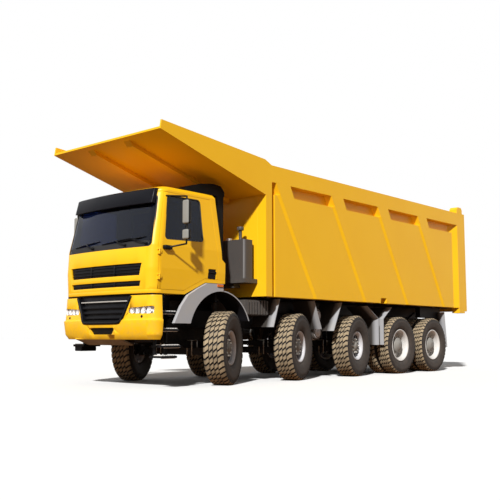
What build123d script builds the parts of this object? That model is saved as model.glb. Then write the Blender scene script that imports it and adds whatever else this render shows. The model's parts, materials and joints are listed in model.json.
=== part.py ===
"""Five-axle dump truck built as separate parts in one frame.

Sizes are in mm. X runs forward, Y to the left, Z up from the ground. Stations along X are
measured from the front axle; place() moves everything so that the middle of the length is X = 0.
"""

import os
from dataclasses import dataclass
from math import asin, cos

from build123d import *

# Axles and steering
AXLE_X = (0, -1950, -3920, -5620, -7110)
STEERED_AXLES = 3
REST_STEER = (26, 18, 10.3)
KINGPIN_Y = 950
KINGPIN_R = 30
EYE_R = 65
EYE_HALF = 90
EAR_THICK = 36
EAR_GAP = 2
SPINDLE_R = 55
SPINDLE_DEPTH = 50
HUB_GAP = 6
PIN_GAP = 0.3
BEAM_DEPTH = 120
BEAM_WIDTH = 120
BEAM_HALF = 800
DRIVE_BOWL_R = 240
DRIVE_TUBE_R = 95

# Wheels
TYRE_R = 625
SINGLE_TYRE_Y = 1118
TWIN_TYRE_Y = (1192, 842)
BEAD_INSET = 36
LUG_COUNT = 16
LUG_DEPTH = 30
LUG_LENGTH = 120
LUG_FOOT = 73
LUG_SINK = 12
SHOULDER = 45
CROWN_GROOVE = 20
RIM_DROP = 38
RIM_WALL = 16
FLANGE = 14
BEAD_RAMP = 20
DISC_THICK = 20
HUB_CHAMFER = 35

# Chassis
RAIL_Y = 430
RAIL_Z = (980, 1280)
RAIL_FRONT_X = 1330
RAIL_BACK_X = -7700
RAIL_FLANGE = 85
RAIL_WALL = 12
CROSS_TUBE_X = (-1050, -2350, -3450, -4350, -5180, -6365, -7500)
CROSS_TUBE_R = 55
CAB_MOUNT_X = (1190, 160)
CAB_MOUNT_LENGTH = 140
SPRING_Y = 400
SPRING_WIDTH = 90
SPRING_RISE = 120
SPRING_HALF = 740
SPRING_HANGER = 680
LEAF = 30
STAY_R = 24
TAIL_LAMP_X = (-7930, -7870)
TAIL_LAMP_Y = (470, 730)
TAIL_LAMP_Z = (1010, 1130)

# Cab
CAB_WALL = 60
CAB_REAR_X = -30
CAB_BACK_TOP_X = 190
CAB_BOTTOM_Z = 1500
CAB_ARCH_Z = 1715
CAB_ROOF_Z = 3250
CAB_WAIST_Z = 2130
CAB_BOW = 90
CAB_GAP = 12
DOOR_FRONT_X = 1495
DOOR_REAR_X = 150
DOOR_TOP_Z = 3150
DOOR_RAKE = 165
DOOR_GAP = 5
DOOR_HINGE_Y = 1176
DOOR_HINGE_Z = (1760, 2160)
DOOR_HINGE_R = 14
DOOR_PIN_R = 7
HINGE_HALF = 22
HINGE_TAB = 24
HINGE_LEAF = 26
HINGE_PROUD = 6
SILL_Z = 2370
GLASS_INSET = 18
GLASS_THICK = 14
HANDLE_X = (195, 400)
HANDLE_Z = (1780, 1950)
HANDLE_DEPTH = 35
LEVER_Z = (1880, 1912)
VISOR_Z = (2950, 3205)
VISOR_HALF = 1010
VISOR_DEPTH = 75
CAB_SECTIONS = (
    # height, front X, half width, corner radius
    (CAB_BOTTOM_Z, 1690, 1150, 190),
    (1900, 1705, 1170, 200),
    (2270, 1685, 1170, 200),
    (3190, 1480, 1090, 170),
    (CAB_ROOF_Z, 1370, 1020, 150),
)
DOOR_WINDOW = (
    (DOOR_REAR_X + 340, SILL_Z + 20),
    (DOOR_FRONT_X - 120, SILL_Z - 10),
    (DOOR_FRONT_X - 225, DOOR_TOP_Z - 60),
    (DOOR_REAR_X + 385, DOOR_TOP_Z - 50),
)
WINDSCREEN = ((-1090, 2235), (1090, 2235), (1015, 3090), (-1015, 3090))
WINDOW_CORNER = 60
UPPER_SLOTS = (
    # half width, bottom, top
    (925, 1785, 1980),
    (900, 1612, 1700),
)

# Front end
BUMPER_SECTIONS = (
    # height, front X, half width, corner radius
    (770, 1640, 1170, 190),
    (850, 1690, 1210, 200),
    (1075, 1722, 1226, 210),
    (1100, 1694, 1212, 210),
    (1470, 1685, 1190, 200),
)
BUMPER_BACK_X = 1440
BUMPER_WALL = 90
MAIN_GRILLE = ((-480, 1050), (480, 1050), (720, 1540), (-720, 1540))
LOW_INTAKE = ((-260, 850), (260, 850), (350, 960), (-350, 960))
LAMP = ((645, 1184), (1140, 1176), (1150, 1298), (640, 1270))
SLAT_Z = (1120, 1205, 1290, 1385)
SLAT_HALF = 16
SKID_PLATE = ((1600, 795), (1625, 775), (1330, 672), (1320, 690))
SKID_Y = (-800, 380)

# Steps, arches and guards
STEP_TREADS = (
    # height, back X, front X, outer Y
    (1180, 1040, 1400, 1135),
    (905, 1060, 1412, 1185),
    (645, 1015, 1380, 1185),
    (480, 1085, 1418, 1170),
)
RIGHT_TREADS = 3
STEP_THICK = 35
STEP_INNER_Y = 880
STEP_HANGER_X = (1105, 1335)
STEP_HANGER = 30
ARCH_CENTRE = (100, 820)
ARCH_R = 760
ARCH_THICK = 18
ARCH_Y = (760, 1190)
FLARE_Y = (1150, 1212)
FLARE = (
    (834, 1030),
    (1190, 1030),
    (1042, 1301),
    (887, 1487),
    (655, 1608),
    (447, CAB_ARCH_Z - CAB_GAP),
    (60, CAB_ARCH_Z - CAB_GAP),
    (60, 820),
)
FLAPS = (
    # side view of each folded sheet from top to bottom, then the height of its stay
    (((-1360, 1500), (-1180, 990)), 1200),
    (((-2420, 1500), (-2650, 960)), 1200),
    (((-3350, 1500), (-3060, 930)), 1200),
    (((-4290, 1460), (-4730, 1200), (-4730, 640)), 1150),
    (((-5290, 1460), (-4930, 1200), (-4930, 640)), 1150),
    (((-7740, 1410), (-7850, 560)), 1150),
)
FLAP_THICK = 14
FLAP_INNER_Y = 760
FLAP_INSET = 115

# Tanks and intake
TANK_X = (-745, -495)
TANK_Y = (560, 1190)
TANK_Z = (1835, 2540)
TANK_CORNER = 50
TANK_FOOT = 75
BREATHER = (-605, 1000)
BREATHER_R = 30
BREATHER_CAP_R = 62
BATTERY_X = (-1200, -610)
BATTERY_Z = (1200, 1470)
BATTERY_Y = 1130
BATTERY_RIBS = 8
BATTERY_PITCH = 75
RESERVOIR_X = -2860
RESERVOIR_Z = (1240, 900)
RESERVOIR_R = 150
RESERVOIR_Y = (470, 1050)
INTAKE_Y = (620, 950)
INTAKE_DEPTH = 200

# Mirrors
MIRROR_X = 1160
MIRROR_Y = 1435
MIRROR_DEPTH = 90
MIRROR_WIDTH = 135
MIRROR_HEADS = ((2355, 2515), (2605, 2990))
MIRROR_ROUND = 30
MIRROR_ARM_R = 14

# Load bed
BED_HALF = 1415
RIB_DEPTH = 140
BED_PANEL_Y = BED_HALF - RIB_DEPTH
BED_WALL = 60
BED_FRONT_X = -830
BED_POST_X = -1000
BED_FLOOR_Z = 1660
BED_BOTTOM_Z = 1530
RAIL_TOP_Z = 3920
RAIL_LOW_Z = 3610
RIB_FRONT_X = (-1270, -3005, -4740, -6475)
RIB_WIDTH = 270
RIB_LEAN = 1080
RIB_SINK = 5
NOTCH_X = (-4690, -4920)
NOTCH_TOP_Z = 1640
NOTCH_SLANT = 40
BEARER_PITCH = 690
BEARER_WIDTH = 110
REAR_POST_X = (-8050, -8330, -8620)
POST_Z = (1400, 4080)
POST_CORNER = 60
CANOPY_ROOT_Z = 3353
CANOPY_FRONT_X = 1730
CANOPY_FRONT_Z = 4053
CANOPY_TOP_Z = 4202
CANOPY_THICK = 35
CANOPY_CHEEK = 30
CANOPY_RIB_Y = (-480, 480)
CANOPY_RIB_WIDTH = 150
CANOPY_RIB_DEPTH = 90
CANOPY_RIB_INSET = 90
RUNNER_Y = 380
RUNNER_WIDTH = 70
BED_HINGE = (-7850, 1335)
HINGE_PIN_R = 45
HINGE_CHEEK = 32
HINGE_CHEEK_X = 420

# Tailgate
GATE_BACK_X = -8760
GATE_GAP = 10
GATE_SKIN = 50
GATE_BAR = 160
GATE_POST = 120
GATE_PIN = (-8545, 4000)
GATE_PIN_R = 35

# Tipping cylinder
HOIST_RADIUS = (AXLE_X[2] + AXLE_X[3]) / 2 - BED_HINGE[0]
HOIST_BASE_Z = 770
HOIST_TOP_Z = 1475
HOIST_TUBE_R = (130, 108, 86, 64)
HOIST_STEP = 25
HOIST_COLLAR = 150
HOIST_BELOW = 330
HOIST_PIN_R = 35
HOIST_EAR = 30

# Reach of cutting blocks, beyond every piece
FAR = 2500


@dataclass
class Wheel:
    """Sizes of one kind of wheel, about the middle of its outer tyre."""

    tyre_width: float
    flange_r: float
    rim_width: float
    disc_y: float
    hub_r: float
    cap_y: float
    hub_back: float
    holes: int
    hole_r: float


SINGLE = Wheel(375, 300, 270, disc_y=75, hub_r=118, cap_y=118, hub_back=-48, holes=10, hole_r=30)
TWIN = Wheel(315, 355, 230, disc_y=-70, hub_r=165, cap_y=95, hub_back=-190, holes=8, hole_r=34)


def block(x0, x1, y0, y1, z0, z1):
    """Box between two stations on each axis."""
    middle = Pos((x0 + x1) / 2, (y0 + y1) / 2, (z0 + z1) / 2)
    return middle * Box(abs(x1 - x0), abs(y1 - y0), abs(z1 - z0))


def side_prism(outline, y0, y1, corner=0):
    """X-Z outline, its corners rounded if asked, carried from y0 to y1."""
    sketch = Polygon(*outline, align=None)
    if corner:
        sketch = fillet(sketch.vertices(), corner)
    return extrude(Pos(0, y0, 0) * (Plane.XZ * sketch), amount=y1 - y0, dir=(0, 1, 0))


def front_prism(outline, x0, x1, corner=0):
    """Y-Z outline, its corners rounded if asked, carried from x0 to x1."""
    sketch = Polygon(*outline, align=None)
    if corner:
        sketch = fillet(sketch.vertices(), corner)
    return extrude(Pos(x0, 0, 0) * (Plane.YZ * sketch), amount=x1 - x0, dir=(1, 0, 0))


def plan_prism(outline, z0, z1):
    """X-Y outline carried from z0 to z1."""
    face = Pos(0, 0, z0) * Polygon(*outline, align=None)
    return extrude(face, amount=z1 - z0, dir=(0, 0, 1))


def bar(radius, start, end):
    """Round bar between two points."""
    run = Vector(*end) - Vector(*start)
    plane = Plane(origin=start, z_dir=run)
    return plane * Cylinder(radius, run.length, align=(Align.CENTER, Align.CENTER, Align.MIN))


def bent_bar(radius, points):
    """Round bar through several points, with a ball at each bend."""
    shape = bar(radius, points[0], points[1])
    for start, end in zip(points[1:], points[2:]):
        shape += Pos(*start) * Sphere(radius)
        shape += bar(radius, start, end)
    return shape


def cross_pin(radius, x, z, y0, y1):
    """Round bar along Y."""
    return bar(radius, (x, y0, z), (x, y1, z))


def turned(profile, centre):
    """Body of revolution about Y from (radius, y) points."""
    face = Polygon(*profile, align=None)
    return Pos(*centre) * revolve(face, axis=Axis.Y)


def other_side(shape):
    """Mirror image on the right-hand side."""
    return mirror(shape, about=Plane.XZ)


def pair(shape):
    """Left and right copies as two solids."""
    return [shape, other_side(shape)]


def tyre(wheel):
    """Turned carcass with a row of lugs on each shoulder, staggered, about Y at the origin."""
    half = wheel.tyre_width / 2
    bead_r = wheel.flange_r - RIM_DROP + PIN_GAP
    bead = wheel.rim_width / 2 - BEAD_INSET
    base_r = TYRE_R - LUG_DEPTH
    wall = base_r - bead_r
    left = (
        # radius, distance from the middle
        (bead_r, bead),
        (bead_r + 0.14 * wall, bead),
        (bead_r + 0.34 * wall, half - 12),
        (bead_r + 0.58 * wall, half),
        (bead_r + 0.86 * wall, half - 10),
        (base_r, half - SHOULDER),
    )
    right = [(r, -y) for r, y in reversed(left)]
    carcass = turned([*left, *right], (0, 0, 0))
    section = (
        (CROWN_GROOVE / 2, base_r - LUG_SINK),
        (CROWN_GROOVE / 2, TYRE_R),
        (half - SHOULDER, TYRE_R),
        (half - 4, TYRE_R - LUG_FOOT),
        (half - SHOULDER, TYRE_R - LUG_FOOT),
    )
    lug = front_prism(section, -LUG_LENGTH / 2, LUG_LENGTH / 2)
    pitch = 360 / LUG_COUNT
    lugs = []
    for i in range(LUG_COUNT):
        lugs.append(Rot(0, i * pitch, 0) * lug)
        lugs.append(Rot(0, (i + 0.5) * pitch, 0) * other_side(lug))
    return carcass + lugs


def rim_ring(wheel):
    """Profile of a rim's outside, from its front flange to its back one."""
    half = wheel.rim_width / 2
    seat_r = wheel.flange_r - RIM_DROP
    return (
        (wheel.flange_r, half),
        (wheel.flange_r, half - FLANGE),
        (seat_r, half - FLANGE - BEAD_RAMP),
        (seat_r, FLANGE + BEAD_RAMP - half),
        (wheel.flange_r, FLANGE - half),
        (wheel.flange_r, -half),
    )


def rim(wheel):
    """Rim, disc and hub as one turning with hand holes and a blind bore for the spindle."""
    half = wheel.rim_width / 2
    inner_r = wheel.flange_r - RIM_DROP - RIM_WALL
    bore_r = SPINDLE_R + PIN_GAP
    profile = (
        (0, wheel.cap_y),
        (0.62 * wheel.hub_r, wheel.cap_y),
        (wheel.hub_r, wheel.cap_y - HUB_CHAMFER),
        (wheel.hub_r, wheel.disc_y),
        (inner_r, wheel.disc_y - DISC_THICK),
        (inner_r, half - FLANGE),
        (wheel.flange_r - FLANGE, half),
        *rim_ring(wheel),
        (inner_r, -half),
        (inner_r, wheel.disc_y - 2 * DISC_THICK),
        (wheel.hub_r, wheel.disc_y - DISC_THICK),
        (wheel.hub_r, wheel.hub_back),
        (bore_r, wheel.hub_back),
        (bore_r, wheel.cap_y - SPINDLE_DEPTH),
        (0, wheel.cap_y - SPINDLE_DEPTH),
    )
    shape = turned(profile, (0, 0, 0))
    ring_r = (wheel.hub_r + inner_r) / 2
    cutter = bar(wheel.hole_r, (ring_r, -FAR, 0), (ring_r, FAR, 0))
    return shape - [Rot(0, i * 360 / wheel.holes, 0) * cutter for i in range(wheel.holes)]


def single_tyre():
    return Pos(0, SINGLE_TYRE_Y, TYRE_R) * tyre(SINGLE)


def single_rim():
    return Pos(0, SINGLE_TYRE_Y, TYRE_R) * rim(SINGLE)


def twin_tyres():
    shape = tyre(TWIN)
    return Compound([Pos(0, y, TYRE_R) * shape for y in TWIN_TYRE_Y])


def twin_rims():
    """Outer wheel, the inner rim and the spacer ring between them."""
    outer_y, inner_y = TWIN_TYRE_Y
    half = TWIN.rim_width / 2
    seat_r = TWIN.flange_r - RIM_DROP
    inner_r = seat_r - RIM_WALL
    ring = turned(((inner_r, half), *rim_ring(TWIN), (inner_r, -half)), (0, inner_y - outer_y, 0))
    near, far = 1 - half, inner_y - outer_y + half - 1
    spacer = turned(((inner_r, far), (seat_r, far), (seat_r, near), (inner_r, near)), (0, 0, 0))
    return Pos(0, outer_y, TYRE_R) * (rim(TWIN) + spacer + ring)


def knuckle():
    """Forked knuckle with its kingpin, spindle and steering arm, wheels straight ahead."""
    z = TYRE_R
    ear = EYE_HALF + EAR_GAP
    tip = ear + EAR_THICK
    spindle_end = SINGLE_TYRE_Y + SINGLE.cap_y - SPINDLE_DEPTH - PIN_GAP
    web_y = KINGPIN_Y + EYE_R + 8
    web_back = SINGLE_TYRE_Y + SINGLE.hub_back - HUB_GAP
    shape = block(-80, 80, web_y, web_back, z - tip, z + tip)
    for side in (-1, 1):
        shape += block(-60, 60, KINGPIN_Y - 55, web_back, z + side * ear, z + side * tip)
    shape += bar(KINGPIN_R, (0, KINGPIN_Y, z - tip), (0, KINGPIN_Y, z + tip))
    shape += cross_pin(SPINDLE_R, 0, z, web_back - 10, spindle_end)
    arm = (
        (-40, KINGPIN_Y - 50),
        (40, KINGPIN_Y - 50),
        (40, KINGPIN_Y + 40),
        (-190, KINGPIN_Y - 20),
        (-190, KINGPIN_Y - 75),
    )
    return shape + plan_prism(arm, z - tip - 30, z - tip + 1)


def steer_axle(x):
    """Beam with a kingpin eye at each end."""
    top = TYRE_R - 5
    beam = block(x - BEAM_WIDTH / 2, x + BEAM_WIDTH / 2, -BEAM_HALF, BEAM_HALF, top - BEAM_DEPTH, top)
    for side in (-1, 1):
        y = side * KINGPIN_Y
        neck_y = side * (KINGPIN_Y - 45)
        beam += block(x - 50, x + 50, side * (BEAM_HALF - 40), neck_y, TYRE_R - EYE_R, TYRE_R + EYE_R)
        beam += bar(EYE_R, (x, y, TYRE_R - EYE_HALF), (x, y, TYRE_R + EYE_HALF))
    for side in (-1, 1):
        y = side * KINGPIN_Y
        beam -= bar(KINGPIN_R + PIN_GAP, (x, y, 0), (x, y, 2 * TYRE_R))
    return beam


def drive_axle(x):
    """Driven axle with its bulging middle, spring seats and wheel spindles."""
    tube_end = TWIN_TYRE_Y[0] + TWIN.hub_back - 2 * HUB_GAP
    spindle_end = TWIN_TYRE_Y[0] + TWIN.cap_y - SPINDLE_DEPTH - PIN_GAP
    half = (
        (0, 0),
        (DRIVE_BOWL_R, 0),
        (DRIVE_BOWL_R, 110),
        (DRIVE_TUBE_R, 300),
        (DRIVE_TUBE_R, tube_end),
        (SPINDLE_R, tube_end),
        (SPINDLE_R, spindle_end),
        (0, spindle_end),
    )
    left = turned(half, (x, 0, TYRE_R))
    y0 = SPRING_Y - SPRING_WIDTH / 2
    y1 = SPRING_Y + SPRING_WIDTH / 2
    left += block(x - SPRING_WIDTH, x + SPRING_WIDTH, y0, y1, TYRE_R, TYRE_R + SPRING_RISE)
    return left + other_side(left)


def axles():
    """All five axles as separate solids."""
    steered = [steer_axle(x) for x in AXLE_X[:STEERED_AXLES]]
    driven = [drive_axle(x) for x in AXLE_X[STEERED_AXLES:]]
    return Compound([*steered, *driven])


def leaf_pack(x, seat_z, reach, shares, hangers, hanger_half):
    """Stack of leaves, each a share of the longest, with hangers up to the rail."""
    y0 = SPRING_Y - SPRING_WIDTH / 2
    y1 = SPRING_Y + SPRING_WIDTH / 2
    shape = None
    for i, share in enumerate(shares):
        z = seat_z + LEAF * i
        leaf = block(x - share * reach, x + share * reach, y0, y1, z, z + LEAF)
        shape = leaf if shape is None else shape + leaf
    low = seat_z + LEAF * (len(shares) - 0.5)
    for hang in hangers:
        shape += block(x + hang - hanger_half, x + hang + hanger_half, y0 + 20, RAIL_Y - 1, low, RAIL_Z[0])
    return shape


def leaf_springs():
    """One pack over each steered axle, one across the rear pair, on both sides."""
    packs = []
    hangers = (-SPRING_HANGER, SPRING_HANGER)
    for x in AXLE_X[:STEERED_AXLES]:
        packs += pair(leaf_pack(x, TYRE_R - 5, SPRING_HALF, (0.35, 0.6, 0.8, 1.0), hangers, 50))
    rear = AXLE_X[STEERED_AXLES:]
    middle = sum(rear) / len(rear)
    reach = (rear[0] - rear[-1]) / 2 + 80
    packs += pair(leaf_pack(middle, TYRE_R + SPRING_RISE, reach, (1.0, 0.85, 0.65, 0.45), (0,), 140))
    return Compound(packs)


def hoist_pin(height):
    """Pin at a height, as far from the bed hinge as every pin of the cylinder."""
    hinge_x, hinge_z = BED_HINGE
    angle = asin((height - hinge_z) / HOIST_RADIUS)
    return hinge_x + HOIST_RADIUS * cos(angle), height


def chassis_frame():
    """Rails, cross tubes, cab mounts, hoist base, bed hinge and tail lamp housings."""
    low, high = RAIL_Z
    inner = RAIL_Y - RAIL_FLANGE
    hollow_y = RAIL_Y - RAIL_WALL
    rail = block(RAIL_BACK_X, RAIL_FRONT_X, inner, RAIL_Y, low, high)
    rail -= block(RAIL_BACK_X - 1, RAIL_FRONT_X + 1, inner - 1, hollow_y, low + RAIL_WALL, high - RAIL_WALL)
    for x, top in zip(CAB_MOUNT_X, (CAB_BOTTOM_Z, CAB_ARCH_Z)):
        rail += block(x - CAB_MOUNT_LENGTH / 2, x + CAB_MOUNT_LENGTH / 2, inner, RAIL_Y, high, top)
    hinge_x, hinge_z = BED_HINGE
    plate = (
        (hinge_x + HINGE_CHEEK_X, low + 60),
        (hinge_x + 60, low + 60),
        (hinge_x - 85, hinge_z - 40),
        (hinge_x - 60, hinge_z + 65),
        (hinge_x, hinge_z + 88),
        (hinge_x + 60, hinge_z + 65),
        (hinge_x + HINGE_CHEEK_X, high - 30),
    )
    rail += side_prism(plate, RAIL_Y - 1, RAIL_Y + HINGE_CHEEK)
    lamp_x0, lamp_x1 = TAIL_LAMP_X
    lamp_y0, lamp_y1 = TAIL_LAMP_Y
    lamp_z0, lamp_z1 = TAIL_LAMP_Z
    rail += block(lamp_x0, lamp_x1, lamp_y0, lamp_y1, lamp_z0, lamp_z1)
    rail += block(lamp_x0 + 20, hinge_x + 100, RAIL_Y + 10, lamp_y0 + 20, lamp_z0 + 50, lamp_z1 - 10)
    base_x, base_z = hoist_pin(HOIST_BASE_Z)
    tube_z = (low + high) / 2
    ear_y = HOIST_TUBE_R[0] + 42
    ear = block(base_x - 90, base_x + 90, ear_y, ear_y + HOIST_EAR, base_z - 80, tube_z)
    ear += block(base_x - 90, base_x + 90, ear_y + 20, RAIL_Y - 1, tube_z - 90, tube_z)
    rail += ear - cross_pin(HOIST_PIN_R + PIN_GAP, base_x, base_z, 0, RAIL_Y)
    frame = rail + other_side(rail)
    for x in CROSS_TUBE_X:
        frame += cross_pin(CROSS_TUBE_R, x, tube_z, 1 - RAIL_Y, RAIL_Y - 1)
    return frame + cross_pin(HINGE_PIN_R, hinge_x, hinge_z, -RAIL_Y - HINGE_CHEEK, RAIL_Y + HINGE_CHEEK)


def engine():
    """Engine, gearbox and their mounts as one plain block."""
    shape = block(120, 1250, -320, 320, 720, 1440)
    shape += block(-700, 140, -190, 190, 740, 1130)
    hollow_y = RAIL_Y - RAIL_WALL
    for x in (350, 1000):
        shape += block(x - 60, x + 60, -hollow_y, hollow_y, 1060, 1180)
    return shape


def bowed_section(height, front_x, half_width, corner):
    """Flat outline at one height, bowed in front and rounded at the corners."""
    shoulder = front_x - CAB_BOW
    back = CAB_REAR_X - 300
    front = ThreePointArc((shoulder, -half_width), (front_x, 0), (shoulder, half_width))
    rest = Polyline((shoulder, half_width), (back, half_width), (back, -half_width), (shoulder, -half_width))
    face = make_face([*front.edges(), *rest.edges()])
    corners = face.vertices().sort_by(Axis.X)[-2:]
    return Pos(0, 0, height) * fillet(corners, corner)


def cab_profile(inset):
    """Side view of the cab's back and underside, drawn in by the inset."""
    outline = (
        (CAB_REAR_X, CAB_ARCH_Z),
        (CAB_REAR_X, CAB_WAIST_Z - 60),
        (CAB_REAR_X + 80, CAB_WAIST_Z),
        (CAB_BACK_TOP_X, CAB_ROOF_Z + 300),
        (FAR, CAB_ROOF_Z + 300),
        (FAR, CAB_BOTTOM_Z),
        (920, CAB_BOTTOM_Z),
        (660, 1620),
        (450, CAB_ARCH_Z),
    )
    sketch = Polygon(*outline, align=None)
    if inset:
        sketch = offset(sketch, -inset, kind=Kind.INTERSECTION)
    face = Pos(0, -FAR, 0) * (Plane.XZ * sketch)
    return extrude(face, amount=2 * FAR, dir=(0, 1, 0))


def cab_solid(inset):
    """Whole cab as one solid, drawn in by the inset on every side."""
    rows = []
    for height, front_x, half_width, corner in CAB_SECTIONS[:-1]:
        rows.append((height, front_x - inset, half_width - inset, corner - inset))
    height, front_x, half_width, corner = CAB_SECTIONS[-1]
    rows.append((height - inset, front_x - inset, half_width - inset, corner - inset))
    if inset:
        below, above = rows[-3], rows[-1]
        share = (above[0] - below[0]) / (CAB_ROOF_Z - below[0])
        front_x = below[1] + (rows[-2][1] - below[1]) * share
        half_width = below[2] + (rows[-2][2] - below[2]) * share
        rows = [*rows[:-2], (above[0], front_x, half_width, rows[-2][3])]
    shape = loft([bowed_section(*row) for row in rows], ruled=True)
    return shape & cab_profile(inset)


def cab_layer(depth, thick):
    """Thin skin of the cab between two insets."""
    return cab_solid(depth) - cab_solid(depth + thick)


def door_outline(grow):
    """Side view of the door, grown or shrunk by a gap."""
    outline = (
        (DOOR_FRONT_X, CAB_BOTTOM_Z + CAB_WALL),
        (DOOR_FRONT_X, SILL_Z - 80),
        (DOOR_FRONT_X - DOOR_RAKE, DOOR_TOP_Z),
        (DOOR_REAR_X + 130, DOOR_TOP_Z),
        (DOOR_REAR_X, CAB_WAIST_Z),
        (DOOR_REAR_X, CAB_ARCH_Z + CAB_WALL),
        (460, CAB_ARCH_Z + CAB_WALL),
        (700, 1670),
        (930, CAB_BOTTOM_Z + CAB_WALL),
    )
    sketch = Polygon(*outline, align=None)
    if grow:
        sketch = offset(sketch, grow, kind=Kind.INTERSECTION)
    return Plane.XZ * sketch


def slot_outline(half_width, low, high):
    """Upper grille slot with slanted ends."""
    slant = 0.25 * (high - low)
    return ((slant - half_width, low), (half_width - slant, low), (half_width, high), (-half_width, high))


def door_hinges():
    """Left door's hinges: the knuckles on the door, then those on the cab with their pins."""
    x, y, r = DOOR_FRONT_X, DOOR_HINGE_Y, DOOR_HINGE_R
    on_door = []
    on_cab = []
    for z in DOOR_HINGE_Z:
        low, high = z - HINGE_HALF, z + HINGE_HALF
        leaf = bar(r, (x, y, low), (x, y, high)) + block(x - 45, x - 3, y - 30, y + HINGE_PROUD, low, high)
        on_door.append(leaf - bar(DOOR_PIN_R + PIN_GAP, (x, y, low - 10), (x, y, high + 10)))
        post = bar(DOOR_PIN_R, (x, y, low - HINGE_TAB + 5), (x, y, high + HINGE_TAB - 5))
        for z0, z1 in ((low - HINGE_TAB, low - 2), (high + 2, high + HINGE_TAB)):
            post += bar(r, (x, y, z0), (x, y, z1))
            post += block(x, x + HINGE_LEAF, y - 60, y + HINGE_PROUD, z0, z1)
        on_cab.append(post)
    return on_door, on_cab


def door(shell):
    """Left door with its window, handle pocket and hinge knuckles."""
    leaf = extrude(door_outline(-DOOR_GAP), amount=FAR, dir=(0, 1, 0))
    window = side_prism(DOOR_WINDOW, 0, FAR, WINDOW_CORNER)
    front, back = HANDLE_X
    low, high = HANDLE_Z
    pocket = side_prism(((front, low), (back, low), (back - 15, high), (front, high)), 0, FAR, 20)
    pocket = pocket & cab_layer(0, HANDLE_DEPTH)
    lever = cab_layer(0, 16) & block(front - 10, back + 10, 0, FAR, *LEVER_Z)
    shape = (shell & leaf) - window - pocket
    return shape + lever, window


def cab():
    """Cab shell cut into its panels, its doors and its glass."""
    shell = cab_solid(0) - cab_solid(CAB_WALL)
    doorway = extrude(Pos(0, -FAR, 0) * door_outline(0), amount=2 * FAR, dir=(0, 1, 0))
    door_panel, window = door(shell)
    on_door, on_cab = door_hinges()
    pane = cab_layer(GLASS_INSET, GLASS_THICK)
    body = shell - doorway
    floor_z = CAB_BOTTOM_Z + CAB_WALL
    arch_z = CAB_ARCH_Z + CAB_WALL
    ahead = (
        (DOOR_FRONT_X, floor_z),
        (FAR, floor_z),
        (FAR, DOOR_TOP_Z),
        (DOOR_FRONT_X - DOOR_RAKE, DOOR_TOP_Z),
        (DOOR_FRONT_X, SILL_Z - 80),
    )
    nose = side_prism(ahead, -FAR, FAR)
    screen = front_prism(WINDSCREEN, DOOR_REAR_X, FAR, WINDOW_CORNER)
    front = (body & nose) - screen
    for half_width, low, high in UPPER_SLOTS:
        front -= front_prism(slot_outline(half_width, low, high), DOOR_FRONT_X - 100, FAR)
    behind = (
        (CAB_REAR_X - 100, arch_z),
        (DOOR_REAR_X, arch_z),
        (DOOR_REAR_X, CAB_WAIST_Z),
        (DOOR_REAR_X + 130, DOOR_TOP_Z),
        (CAB_REAR_X - 100, DOOR_TOP_Z),
    )
    under = (
        (CAB_REAR_X - 100, arch_z),
        (460, arch_z),
        (700, 1670),
        (930, floor_z),
        (FAR, floor_z),
        (FAR, CAB_BOTTOM_Z - 100),
        (CAB_REAR_X - 100, CAB_BOTTOM_Z - 100),
    )
    return {
        "cab_front": front + on_cab + [other_side(piece) for piece in on_cab],
        "cab_roof": body & block(-FAR, FAR, -FAR, FAR, DOOR_TOP_Z, CAB_ROOF_Z + 100),
        "cab_back": body & side_prism(behind, -FAR, FAR),
        "cab_floor": cab_solid(0) & side_prism(under, -FAR, FAR),
        "windscreen": pane & screen & nose,
        "door_left": door_panel + on_door,
        "door_glass_left": pane & window,
    }


def bumper_solid(inset):
    """Bowed bumper block, drawn in by the inset in plan."""
    rows = []
    for height, front_x, half_width, corner in BUMPER_SECTIONS:
        rows.append((height, front_x - inset, half_width - inset, corner - inset))
    shape = loft([bowed_section(*row) for row in rows], ruled=True)
    return shape & block(BUMPER_BACK_X, FAR, -FAR, FAR, 0, FAR)


def bumper_layer(depth, thick):
    """Thin skin of the bumper between two insets."""
    return bumper_solid(depth) - bumper_solid(depth + thick)


def front_end():
    """Bumper with its brackets and skid plate, the black grilles and the headlamps."""
    shell = bumper_solid(0) - bumper_solid(BUMPER_WALL)
    low = RAIL_Z[0]
    bracket = block(RAIL_FRONT_X, 1660, RAIL_Y - 70, RAIL_Y + 10, low - 15, low + 55)
    bracket = bracket & (bumper_solid(20) + block(RAIL_FRONT_X, BUMPER_BACK_X, -FAR, FAR, 0, FAR))
    main = front_prism(MAIN_GRILLE, BUMPER_BACK_X, FAR, 50)
    intake = front_prism(LOW_INTAKE, BUMPER_BACK_X, FAR, 25)
    lamp = front_prism(LAMP, BUMPER_BACK_X, FAR, 30)
    shell = shell - main - intake - lamp - other_side(lamp)
    bumper = shell + bracket + other_side(bracket) + side_prism(SKID_PLATE, *SKID_Y)
    mesh = bumper_layer(50, 25)
    bars = bumper_layer(12, 40)
    black = mesh & main
    for z in SLAT_Z:
        black += bars & main & block(0, FAR, -FAR, FAR, z - SLAT_HALF, z + SLAT_HALF)
    pieces = [black, mesh & intake]
    skin = cab_layer(25, 25) & block(DOOR_FRONT_X, FAR, -FAR, FAR, CAB_BOTTOM_Z, CAB_WAIST_Z)
    for half_width, bottom, top in UPPER_SLOTS:
        pieces.append(skin & front_prism(slot_outline(half_width, bottom, top), DOOR_FRONT_X, FAR))
    lens = bumper_layer(8, 70) & lamp
    return {
        "front_bumper": bumper,
        "grilles": Compound([solid for piece in pieces for solid in piece.solids()]),
        "headlamps": Compound(pair(lens)),
    }


def sun_visor():
    """Dark band over the top of the windscreen, standing off its skin."""
    outer = Pos(VISOR_DEPTH, 0, 0) * cab_solid(0)
    inner = Pos(PIN_GAP, 0, 0) * cab_solid(0)
    return (outer - inner) & block(1250, FAR, -VISOR_HALF, VISOR_HALF, *VISOR_Z)


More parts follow.
